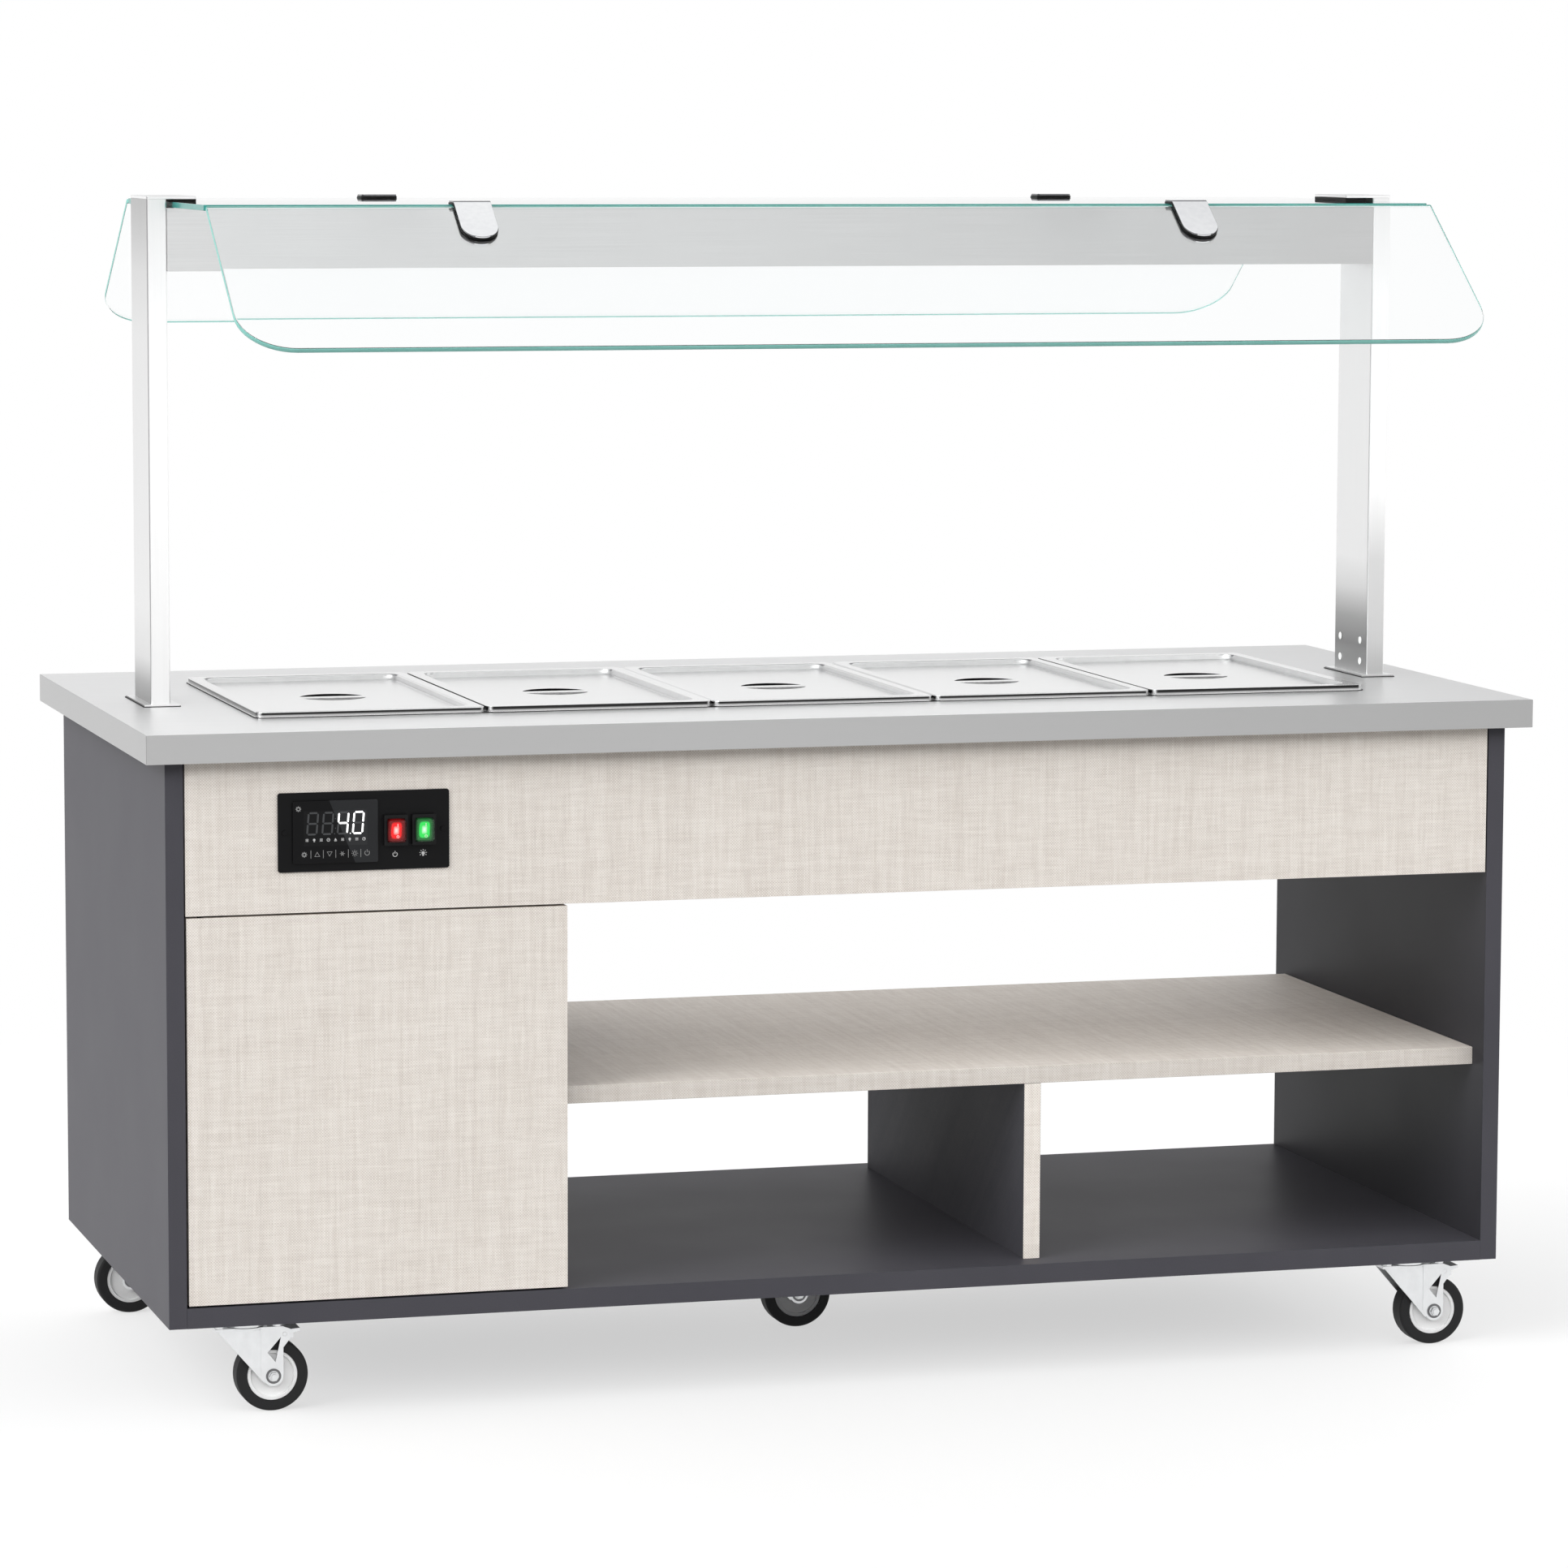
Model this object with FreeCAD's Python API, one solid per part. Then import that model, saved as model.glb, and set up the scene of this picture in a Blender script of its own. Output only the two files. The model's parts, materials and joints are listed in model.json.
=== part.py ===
import FreeCAD, Part
import math
import os

os.makedirs("parts", exist_ok=True)
V = FreeCAD.Vector

# Overall sizes, in mm. X runs along the trolley, the front faces -Y, Z is up from the floor.
top_length = 2000.0
top_depth = 900.0
top_height = 945.0
top_edge = 40.0
sheet = 2.0
overhang = 30.0
board = 25.0
front_board = 19.0
base_board = 28.0
apron_height = 210.0
ceiling_board_thickness = 16.0
shelf_top = 435.0
shelf_setback = 40.0
right_bay = 670.0
cabinet_width = 532.0
door_gap = 3.0
apron_end_gap = 2.0
board_gap = 2.0

# Pans, lids and well
pan_width = 325.0
pan_spacing = 1.0
pan_length = 530.0
pan_depth = 100.0
rim_side = 12.5
rim_end = 15.0
pan_taper = 8.0
pan_corner = 30.0
pan_sheet = 1.5
rim_corner = 12.0
cut_side_clearance = 0.5
cut_end_clearance = 3.0
lid_margin = 1.0
lid_rim_height = 7.0
lid_sink = 8.0
lid_slope = 5.0
lid_fit = 8.0
lid_panel_corner = 22.0
recess_radius = 47.0
recess_depth = 18.0
strap_width = 24.0
strap_thickness = 5.0
well_height = 168.0
well_margin = 2.0
core_clearance = 1.0
heater_radius = 4.25
heater_gap = 0.75
heater_span = 120.0
heater_rise = 22.0
heater_bend = 14.0
collar_radius = 8.0
collar_height = 4.0
heater_tail = 25.0
cut_corner = 15.0

# Posts, light housing and glass
post_end_inset = 75.0
post_thickness = 28.0
post_width = 130.0
post_wall = 2.0
post_corner = 3.0
flange_reach = 11.0
flange_thickness = 3.0
post_height = 707.0
cap_thickness = 4.0
cap_reach = 42.0
wire_hole = 4.5
wire_hole_spread = 40.0
wire_hole_heights = (21.0, 52.0)
glass = 8.0
glass_end_gap = 9.0
glass_depth = 600.0
glass_corner = 6.0
pane_length = 312.0
pane_tilt = 36.0
pane_corner = 75.0
pane_gap = 10.0
pad = 4.0
housing_height = 88.0
housing_lip = 14.0
batten_end_gap = 57.0
batten_width = 40.0
batten_height = 34.0
lens_depth = 8.0
lens_radius = 16.0
clamp_width = 52.0
clamp_hold = 30.0
clamp_drop = 70.0
clamp_plate = 5.0
gasket = 0.3
clamp_inset = 368.0
clamp_web = 5.5

# Control plate with its controller and switches
plate_inset = 128.5
plate_drop = 100.0
plate_left_margin = 19.5
plate_right_margin = 20.0
plate_end_margin = 11.0
plate_corner = 3.5
plate_thickness = 3.0
plate_screw_inset = 9.0
bezel_width = 118.0
bezel_height = 86.0
bezel_corner = 3.0
bezel_thickness = 3.5
controller_depth = 60.0
body_margin = 8.0
bezel_to_frame = 7.5
frame_spacing = 6.0
frame_side = 4.5
frame_end = 5.0
frame_thickness = 8.0
frame_opening_width = 24.0
frame_opening_height = 32.0
frame_wall = 1.5
frame_depth = 26.0
rocker_gap = 0.3
rocker_rise = 3.0
rocker_tilt = 8.0
rocker_pivot_depth = 6.0
rocker_body_depth = 14.0
frame_round = 2.0
pin_radius = 1.5
fit = 0.05

# Casters
caster_rise = 30.0
caster_end_inset = 115.0
caster_side_inset = 62.0
trail = 36.0
wheel_radius = 50.0
hub_radius = 35.0
tyre_width = 32.0
boss_proud = 2.0
axle_radius = 4.0
fork_clearance = 2.0
fork_sheet = 3.0
fork_crown = 29.0
race_height = 8.0
fork_crown_thickness = 4.0
fork_nose = 44.0
fork_tail = 14.0
axle_boss = 14.0
leg_drop = 8.0
fork_window = ((-8.0, 33.0), (10.5, 54.0), (3.0, 19.5))
nut_radius = 6.5
nut_height = 6.0
axle_head = 5.0
axle_end = 9.0
tyre_round = 4.0
hub_step = 5.0
hub_dish = 4.0
hub_boss = 11.0
hub_inset = 1.0
kingpin_head_height = 5.0
plate_round = 8.0
race_radius = 27.0
kingpin_radius = 6.0
kingpin_head = 11.0
plate_size = (105.0, 85.0)
caster_plate = 3.0
bolt_pitch = (80.0, 60.0)
bolt_radius = 4.0
bolt_head = 6.5
bolt_head_height = 5.0
bolt_length = 22.0
swivel_gap = 0.5
pedal_reach = 16.0
pedal_drop = 11.0
pedal_pin = 3.0
pedal_side_gap = 1.0
pedal_length = 22.0
pedal_eye = 6.0
pedal_lug = 8.0
pedal_lug_drop = 31.0
pedal_tip = (3.0, 7.0)
shoe_size = (14.0, 6.0, 8.0)

# Door pivots and power inlet
pivot_inset = 20.0
pivot_radius = 4.0
pivot_depth = 14.0
pivot_washer = 9.0
inlet_inset = 245.0
inlet_flange = 62.0
inlet_body = 46.0
inlet_depth = 44.0
inlet_wall = 3.0
inlet_base = 10.0
inlet_round = 6.0
inlet_pin = (2.0, 8.0)
inlet_pin_setback = 8.0
inlet_pin_spots = ((-10.0, -6.0), (10.0, -6.0), (0.0, 8.0))
screw_radius = 3.2
screw_height = 2.5
screw_shank = 2.0
screw_length = 12.0

# Levels and faces that follow from the sizes above
carcass_x = top_length / 2 - overhang
carcass_y = top_depth / 2 - overhang
inner_x = carcass_x - board
caster_height = 2 * wheel_radius + caster_rise
base_bottom = caster_height
base_top = base_bottom + base_board
top_bottom = top_height - top_edge
apron_bottom = top_bottom - apron_height
apron_back = carcass_y - front_board
divider_x = inner_x - right_bay
door_right = -inner_x + cabinet_width
post_outer = top_length / 2 - post_end_inset
post_inner = post_outer - post_thickness
post_top = top_height + post_height
glass_top = post_top - pad
glass_bottom = glass_top - glass
glass_length = 2 * (post_inner - glass_end_gap)
batten_length = 2 * (post_inner - batten_end_gap)
clamp_x = glass_length / 2 - clamp_inset
pan_pitch = pan_width + pan_spacing
pan_body_width = pan_width - 2 * rim_side
pan_body_length = pan_length - 2 * rim_end
pan_count = int(2 * (post_inner - flange_reach) // pan_pitch)
cut_x = (pan_count - 1) * pan_pitch / 2 + pan_body_width / 2 + cut_side_clearance
cut_y = pan_body_length / 2 + cut_end_clearance
well_x = cut_x + well_margin
well_y = cut_y + well_margin
well_top = top_height - sheet
well_bottom = well_top - well_height
heater_leg = 2 * (well_y - heater_gap - heater_radius - heater_span / 2)
pan_centres = [pan_pitch * (i - (pan_count - 1) / 2) for i in range(pan_count)]
lid_bottom = top_height + pan_sheet
frame_width = frame_opening_width + 2 * frame_side
frame_height = frame_opening_height + 2 * frame_end
plate_left = -inner_x + plate_inset
plate_z = top_bottom - plate_drop
bezel_right = plate_left + plate_left_margin + bezel_width
bezel_x = bezel_right - bezel_width / 2
first_rocker = bezel_right + bezel_to_frame + frame_width / 2
rocker_x = (first_rocker, first_rocker + frame_width + frame_spacing)
plate_right = rocker_x[1] + frame_width / 2 + plate_right_margin
plate_width = plate_right - plate_left
plate_x = (plate_left + plate_right) / 2
plate_height = bezel_height + 2 * plate_end_margin
inlet_x = -inner_x + inlet_inset
caster_x = carcass_x - caster_end_inset
caster_y = carcass_y - caster_side_inset
hub_width = tyre_width + 2 * boss_proud
fork_gap = hub_width / 2 + fork_clearance
fork_crown_top = caster_height - caster_plate - race_height
pedal_pivot = (trail + pedal_reach, fork_crown_top - pedal_drop)
pedal_width = 2 * (fork_gap - pedal_side_gap)
pedal_lug_foot = fork_crown_top - pedal_lug_drop


def box(low, high):
    return Part.makeBox(high[0] - low[0], high[1] - low[1], high[2] - low[2], V(*low))


def cylinder(radius, base, height, direction=(0, 0, 1)):
    return Part.makeCylinder(radius, height, V(*base), V(*direction))


def rounded_wire(width, depth, radius, centre, z):
    # Rectangle with four corner arcs, in the XY plane.
    x, y = width / 2, depth / 2
    s = radius * (1 - math.sqrt(0.5))
    cx, cy = centre
    points = [V(cx - x + radius, cy - y, z), V(cx + x - radius, cy - y, z), V(cx + x, cy - y + radius, z),
              V(cx + x, cy + y - radius, z), V(cx + x - radius, cy + y, z), V(cx - x + radius, cy + y, z),
              V(cx - x, cy + y - radius, z), V(cx - x, cy - y + radius, z)]
    middles = [V(cx + x - s, cy - y + s, z), V(cx + x - s, cy + y - s, z),
               V(cx - x + s, cy + y - s, z), V(cx - x + s, cy - y + s, z)]
    edges = []
    for i in range(4):
        a, b, c = points[2 * i], points[2 * i + 1], points[(2 * i + 2) % 8]
        edges.append(Part.LineSegment(a, b).toShape())
        edges.append(Part.Arc(b, middles[i], c).toShape())
    return Part.Wire(edges)


def slab(width, depth, radius, centre, low, high):
    return Part.Face(rounded_wire(width, depth, radius, centre, low)).extrude(V(0, 0, high - low))


def upright(shape, y):
    # Turns a shape drawn flat in XY so that its plane faces -Y, with its base at the given y.
    turned = shape.copy()
    turned.rotate(V(0, 0, 0), V(1, 0, 0), 90)
    turned.translate(V(0, y, 0))
    return turned


def front_slab(width, height, radius, centre, outer, inner):
    # Rounded plate standing in the XZ plane, from the outer to the inner Y.
    flat = slab(width, height, radius, centre, 0, inner - outer)
    return upright(flat, inner)


def polygon_prism(points, y_low, y_high):
    # Outline given as (x, z) points, extruded along Y.
    corners = [V(x, y_low, z) for x, z in points]
    return Part.Face(Part.makePolygon(corners + corners[:1])).extrude(V(0, y_high - y_low, 0))


def hexagon(radius, base, height, direction=V(0, 0, 1)):
    corners = [V(radius * math.cos(math.radians(60 * i)), radius * math.sin(math.radians(60 * i)), 0)
               for i in range(6)]
    solid = Part.Face(Part.makePolygon(corners + corners[:1])).extrude(V(0, 0, height))
    solid.Placement = FreeCAD.Placement(V(*base), FreeCAD.Rotation(V(0, 0, 1), direction))
    return solid


def fused(shapes):
    return shapes[0].fuse(shapes[1:]).removeSplitter()


def mirrored(shape):
    return shape.mirror(V(0, 0, 0), V(0, 1, 0))


def write(node, shapes):
    # A single solid, or a group of separate solids in one node.
    shapes = shapes if isinstance(shapes, list) else [shapes]
    solids = [solid for shape in shapes for solid in shape.Solids]
    result = solids[0] if len(solids) == 1 else Part.makeCompound(solids)
    result.exportStep("parts/" + node + ".step")


# Casters: name, swivel axis and the side the wheel trails to
casters = [
    ("front_left", (-caster_x, -caster_y), 1, True),
    ("front_right", (caster_x, -caster_y), 1, True),
    ("rear_left", (-caster_x, caster_y), -1, False),
    ("rear_right", (caster_x, caster_y), 1, False),
    ("centre", (0.0, 0.0), 1, False),
]
bolt_spots = [(sx * bolt_pitch[0] / 2, sy * bolt_pitch[1] / 2) for sx in (-1, 1) for sy in (-1, 1)]


def placed(shape, caster):
    # Moves a caster piece drawn about its own swivel axis, trailing to +X, to its place.
    name, (x, y), side, brake = caster
    moved = shape.copy()
    if side < 0:
        moved.rotate(V(0, 0, 0), V(0, 0, 1), 180)
    moved.translate(V(x, y, 0))
    return moved


def caster_top_plate():
    low = caster_height - caster_plate
    plate = slab(plate_size[0], plate_size[1], plate_round, (0, 0), low, caster_height)
    race = cylinder(race_radius, (0, 0, fork_crown_top + swivel_gap), low - fork_crown_top - swivel_gap)
    pin_low = fork_crown_top - fork_crown_thickness - swivel_gap - kingpin_head_height
    pin = cylinder(kingpin_radius, (0, 0, pin_low), low - pin_low)
    head = cylinder(kingpin_head, (0, 0, pin_low), kingpin_head_height)
    holes = [cylinder(bolt_radius + fit, (x, y, low - 1), caster_plate + 2) for x, y in bolt_spots]
    return fused([plate, race, pin, head]).cut(Part.makeCompound(holes))


def fork_leg(side, brake):
    # One pressed leg: wide at the crown, narrow round the axle, with a window above the axle.
    low = fork_gap if side > 0 else -fork_gap - fork_sheet
    high = low + fork_sheet
    crown = fork_crown_top
    back = trail + fork_tail
    outline = [(-fork_nose, crown), (back, crown), (back, wheel_radius),
               (trail - axle_boss, wheel_radius - leg_drop)]
    boss = cylinder(axle_boss, (trail, low, wheel_radius), fork_sheet, (0, 1, 0))
    parts = [polygon_prism(outline, low, high), boss]
    if brake:
        x, z = pedal_pivot
        parts.append(polygon_prism([(back - 1, crown), (x + pedal_lug, crown - fork_crown_thickness),
                                    (x + pedal_lug, z - pedal_eye), (back - 1, pedal_lug_foot)], low, high))
    window = polygon_prism([(trail + x, wheel_radius + z) for x, z in fork_window], low - 1, high + 1)
    leg = fused(parts).cut(window)
    if brake:
        leg = leg.cut(cylinder(pedal_pin + fit, (x, low - 1, z), fork_sheet + 2, (0, 1, 0)))
    return leg.cut(cylinder(axle_radius + fit, (trail, low - 1, wheel_radius), fork_sheet + 2, (0, 1, 0)))


def fork(brake):
    low = fork_crown_top - fork_crown_thickness
    reach = fork_gap + fork_sheet
    end = fork_crown if brake else trail + fork_tail
    crown = box((-fork_nose, -reach, low), (end, reach, fork_crown_top))
    crown = crown.fuse(cylinder(fork_crown, (0, 0, low), fork_crown_thickness))
    yoke = fused([crown, fork_leg(1, brake), fork_leg(-1, brake)])
    return yoke.cut(cylinder(kingpin_radius + fit, (0, 0, low - 1), fork_crown_thickness + 2))


def axle():
    reach = fork_gap + fork_sheet
    shank = cylinder(axle_radius, (trail, -reach - axle_end, wheel_radius), 2 * reach + axle_end, (0, 1, 0))
    head = hexagon(nut_radius, (trail, reach, wheel_radius), axle_head, V(0, 1, 0))
    nut = hexagon(nut_radius, (trail, -reach - nut_height, wheel_radius), nut_height, V(0, 1, 0))
    start = (trail, -reach - nut_height - 1, wheel_radius)
    nut = nut.cut(cylinder(axle_radius + fit, start, nut_height + 2, (0, 1, 0)))
    return [shank.fuse(head).removeSplitter(), nut]


def hub():
    half = hub_width / 2
    edge = tyre_width / 2
    width = tyre_width - 2 * hub_inset
    rim = cylinder(hub_radius, (trail, -width / 2, wheel_radius), width, (0, 1, 0))
    for base in (-edge, edge - hub_dish):
        rim = rim.cut(cylinder(hub_radius - hub_step, (trail, base, wheel_radius), hub_dish, (0, 1, 0)))
    boss = cylinder(hub_boss, (trail, -half, wheel_radius), hub_width, (0, 1, 0))
    bore = cylinder(axle_radius + fit, (trail, -half - 1, wheel_radius), hub_width + 2, (0, 1, 0))
    return rim.fuse(boss).removeSplitter().cut(bore)


def tyre():
    half = tyre_width / 2
    outer = cylinder(wheel_radius, (trail, -half, wheel_radius), tyre_width, (0, 1, 0))
    outer = outer.makeFillet(tyre_round, [e for e in outer.Edges if e.Curve.TypeId == "Part::GeomCircle"])
    return outer.cut(cylinder(hub_radius + fit, (trail, -half - 1, wheel_radius), tyre_width + 2, (0, 1, 0)))


def brake_pedal():
    x, z = pedal_pivot
    half = pedal_width / 2
    end = x + pedal_length
    eye = cylinder(pedal_eye, (x, -half, z), pedal_width, (0, 1, 0))
    tongue = polygon_prism([(x, z - pedal_tip[0]), (end, z + pedal_tip[0]), (end, z + pedal_tip[1]),
                            (x, z + pedal_eye - 1)], -half, half)
    length, inset, drop = shoe_size
    shoe = box((x, -half + inset, z - drop), (x + length, half - inset, z))
    reach = fork_gap + fork_sheet
    pin = cylinder(pedal_pin, (x, -reach, z), 2 * reach, (0, 1, 0))
    return fused([eye, tongue, shoe, pin])


def all_casters():
    plates = []
    for caster in casters:
        name, spot, side, brake = caster
        plates.append(placed(caster_top_plate(), caster))
        write("fork_" + name, [placed(piece, caster) for piece in [fork(brake)] + axle()])
        write("hub_" + name, placed(hub(), caster))
        write("tyre_" + name, placed(tyre(), caster))
        if brake:
            write("brake_pedal_" + name, placed(brake_pedal(), caster))
    write("caster_plates", plates)


def fasteners():
    # Caster bolts from below and the two screws of the control plate.
    under = caster_height - caster_plate
    group = []
    for name, (cx, cy), side, brake in casters:
        for x, y in bolt_spots:
            head = hexagon(bolt_head, (cx + x, cy + y, under - bolt_head_height), bolt_head_height)
            shank = cylinder(bolt_radius, (cx + x, cy + y, under), bolt_length)
            group.append(head.fuse(shank).removeSplitter())
    for side in (-1, 1):
        x = plate_x + side * (plate_width / 2 - plate_screw_inset)
        face = -carcass_y - plate_thickness
        head = cylinder(screw_radius, (x, face - screw_height, plate_z), screw_height, (0, 1, 0))
        shank = cylinder(screw_shank, (x, face, plate_z), plate_thickness + screw_length, (0, 1, 0))
        group.append(head.fuse(shank).removeSplitter())
    write("fasteners", group)


# Carcass boards
pivot_x = -inner_x + door_gap + pivot_inset
pivot_y = -carcass_y + front_board / 2
door_low = base_top + door_gap
door_high = apron_bottom - door_gap
wall_right = door_right
wall_left = door_right - board


def carcass():
    for name, side in (("left", -1), ("right", 1)):
        low, high = sorted((side * inner_x, side * carcass_x))
        write(name + "_side_panel", box((low, -carcass_y, base_bottom), (high, carcass_y, top_bottom)))
    base = box((-inner_x, -carcass_y, base_bottom), (inner_x, carcass_y, base_top))
    holes = [cylinder(bolt_radius + fit, (cx + x, cy + y, base_bottom - 1), bolt_length)
             for name, (cx, cy), side, brake in casters for x, y in bolt_spots]
    holes.append(cylinder(pivot_radius + fit, (pivot_x, pivot_y, base_top - pivot_depth), pivot_depth + 1))
    write("bottom_board", base.cut(Part.makeCompound(holes)))
    write("cabinet_wall", box((wall_left, -apron_back + board_gap, base_top),
                              (wall_right, carcass_y, apron_bottom)))
    write("cabinet_back", box((-inner_x, apron_back, base_top), (wall_left, carcass_y, apron_bottom)))
    shelf_y = carcass_y - shelf_setback
    write("middle_shelf", box((wall_right, -shelf_y, shelf_top - board), (inner_x, shelf_y, shelf_top)))
    half = board / 2
    write("lower_divider", box((divider_x - half, -shelf_y, base_top),
                               (divider_x + half, shelf_y, shelf_top - board)))
    write("ceiling_board", box((-inner_x, -apron_back, apron_bottom),
                               (inner_x, apron_back, apron_bottom + ceiling_board_thickness)))


def control_cutouts():
    # Openings in the front apron for the controller body and the switch bodies.
    low = -carcass_y - plate_thickness - 1
    high = -apron_back + 1
    half = bezel_width / 2 - body_margin + 1
    tall = bezel_height / 2 - body_margin + 1
    body = box((bezel_x - half, low, plate_z - tall), (bezel_x + half, high, plate_z + tall))
    tall = frame_opening_height / 2 + frame_wall + 1
    reach = frame_opening_width / 2 + frame_wall + 1
    switches = [box((x - reach, low, plate_z - tall), (x + reach, high, plate_z + tall)) for x in rocker_x]
    return [body] + switches


def aprons():
    end = inner_x - apron_end_gap
    front = box((-end, -carcass_y, apron_bottom), (end, -apron_back, top_bottom))
    cutters = control_cutouts()
    cutters.append(cylinder(pivot_radius + fit, (pivot_x, pivot_y, apron_bottom - 1), pivot_depth + 1))
    for side in (-1, 1):
        x = plate_x + side * (plate_width / 2 - plate_screw_inset)
        cutters.append(cylinder(screw_shank + fit, (x, -carcass_y - 1, plate_z), screw_length + 2, (0, 1, 0)))
    write("front_apron", front.cut(Part.makeCompound(cutters)))
    rear = box((-end, apron_back, apron_bottom), (end, carcass_y, top_bottom))
    half = inlet_body / 2 + 1
    opening = box((inlet_x - half, apron_back - 1, plate_z - half),
                  (inlet_x + half, carcass_y + 1, plate_z + half))
    write("rear_apron", rear.cut(opening))


def door():
    panel = box((-inner_x + door_gap, -carcass_y, door_low), (door_right, -apron_back, door_high))
    depth = pivot_depth
    low = cylinder(pivot_radius + fit, (pivot_x, pivot_y, door_low - 1), depth + 2)
    high = cylinder(pivot_radius + fit, (pivot_x, pivot_y, door_high - depth - 1), depth + 2)
    write("door_panel", panel.cut(low).cut(high))
    washer = door_gap - swivel_gap
    pin = cylinder(pivot_radius, (pivot_x, pivot_y, base_top - depth), door_gap + 2 * depth)
    lower = pin.fuse(cylinder(pivot_washer, (pivot_x, pivot_y, base_top), washer)).removeSplitter()
    upper = cylinder(pivot_radius, (pivot_x, pivot_y, door_high - depth), door_gap + 2 * depth)
    write("door_pivots", [lower, upper])


# Steel top, its core, the heated well, pans and lids
def countertop():
    x, y = top_length / 2, top_depth / 2
    shell = box((-x, -y, top_bottom), (x, y, top_height))
    shell = shell.cut(box((-x + sheet, -y + sheet, top_bottom - 1), (x - sheet, y - sheet, well_top)))
    opening = slab(2 * cut_x, 2 * cut_y, cut_corner, (0, 0), well_top - 1, top_height + 1)
    write("countertop", shell.cut(opening))
    gap = sheet + core_clearance
    core = box((-x + gap, -y + gap, top_bottom), (x - gap, y - gap, well_top))
    hole_x = well_x + sheet + core_clearance
    hole_y = well_y + sheet + core_clearance
    write("core_board", core.cut(box((-hole_x, -hole_y, top_bottom - 1), (hole_x, hole_y, top_height))))


def heater_legs():
    # Where the heater ends come down through the well floor.
    y = -heater_leg / 2 - heater_bend
    return [(x + side * heater_span / 2, y) for x in pan_centres for side in (-1, 1)]


def well_tank():
    outer = box((-well_x - sheet, -well_y - sheet, well_bottom - sheet),
                (well_x + sheet, well_y + sheet, well_top))
    tank = outer.cut(box((-well_x, -well_y, well_bottom), (well_x, well_y, well_top + 1)))
    holes = [cylinder(heater_radius + fit, (x, y, well_bottom - sheet - 1), sheet + 2)
             for x, y in heater_legs()]
    write("well_tank", tank.cut(Part.makeCompound(holes)))


def heater(x):
    # A hairpin tube: two legs, a half turn at the back and both ends bent down through the floor.
    z = well_bottom + heater_rise
    half = heater_leg / 2
    r = heater_span / 2
    parts = []
    for side in (-1, 1):
        leg_x = x + side * r
        parts.append(cylinder(heater_radius, (leg_x, -half, z), heater_leg, (0, 1, 0)))
        bend = Part.makeTorus(heater_bend, heater_radius, V(leg_x, -half, z - heater_bend), V(1, 0, 0))
        keep = box((leg_x - 10, -half - heater_bend - 10, z - heater_bend), (leg_x + 10, -half, z + 10))
        parts.append(bend.common(keep))
        low = well_bottom - sheet - heater_tail
        end_y = -half - heater_bend
        parts.append(cylinder(heater_radius, (leg_x, end_y, low), z - heater_bend - low))
        parts.append(cylinder(collar_radius, (leg_x, end_y, well_bottom), collar_height))
    turn = Part.makeTorus(r, heater_radius, V(x, half, z), V(0, 0, 1))
    parts.append(turn.common(box((x - r - 10, half, z - 10), (x + r + 10, half + r + 10, z + 10))))
    return fused(parts)


def pan(x):
    rim = slab(pan_width, pan_length, rim_corner, (x, 0), top_height, top_height + pan_sheet)
    floor = top_height - pan_depth
    top = top_height + pan_sheet

    def bowl(shrink, low, radius):
        width = pan_body_width - shrink
        length = pan_body_length - shrink
        lower = rounded_wire(width - pan_taper, length - pan_taper, radius, (x, 0), low)
        upper = rounded_wire(width, length, radius, (x, 0), top)
        return Part.makeLoft([lower, upper], True, True)

    outer = bowl(0, floor, pan_corner)
    inner = bowl(2 * pan_sheet, floor + pan_sheet, pan_corner - pan_sheet)
    return rim.fuse(outer).removeSplitter().cut(inner)


def lid(x):
    # A pressed lid: turned-down rim, sunken panel with sloping sides, grip recess and strap.
    width = pan_width - 2 * lid_margin
    length = pan_length - 2 * lid_margin
    top = lid_bottom + lid_rim_height
    panel = top - lid_sink
    foot_inset = 2 * (2 * pan_sheet + lid_fit)

    def tray(growth, low):
        foot_width = pan_body_width - foot_inset + 2 * growth
        foot_length = pan_body_length - foot_inset + 2 * growth
        corner = lid_panel_corner + growth
        lower = rounded_wire(foot_width, foot_length, corner - lid_slope, (x, 0), low)
        upper = rounded_wire(foot_width + 2 * lid_slope, foot_length + 2 * lid_slope, corner, (x, 0), top)
        return Part.makeLoft([lower, upper], True, True)

    rim = slab(width, length, rim_corner, (x, 0), lid_bottom, top)
    hollow = slab(width - 2 * pan_sheet, length - 2 * pan_sheet, rim_corner - pan_sheet, (x, 0),
                  lid_bottom - 1, top - pan_sheet)
    outer = rim.cut(hollow).fuse(tray(pan_sheet, panel - pan_sheet)).removeSplitter()
    body = outer.cut(tray(0, panel))
    low = panel - recess_depth
    dish = cylinder(recess_radius + pan_sheet, (x, 0, low - pan_sheet), recess_depth + pan_sheet)
    body = body.fuse(dish).removeSplitter().cut(cylinder(recess_radius, (x, 0, low), recess_depth + 1))
    strap = box((x - recess_radius - 1, -strap_width / 2, panel - strap_thickness),
                (x + recess_radius + 1, strap_width / 2, panel))
    return body.fuse(strap).removeSplitter()


def pans_and_lids():
    for number, x in enumerate(pan_centres, 1):
        write("pan_%d" % number, pan(x))
        write("lid_%d" % number, lid(x))


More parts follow.
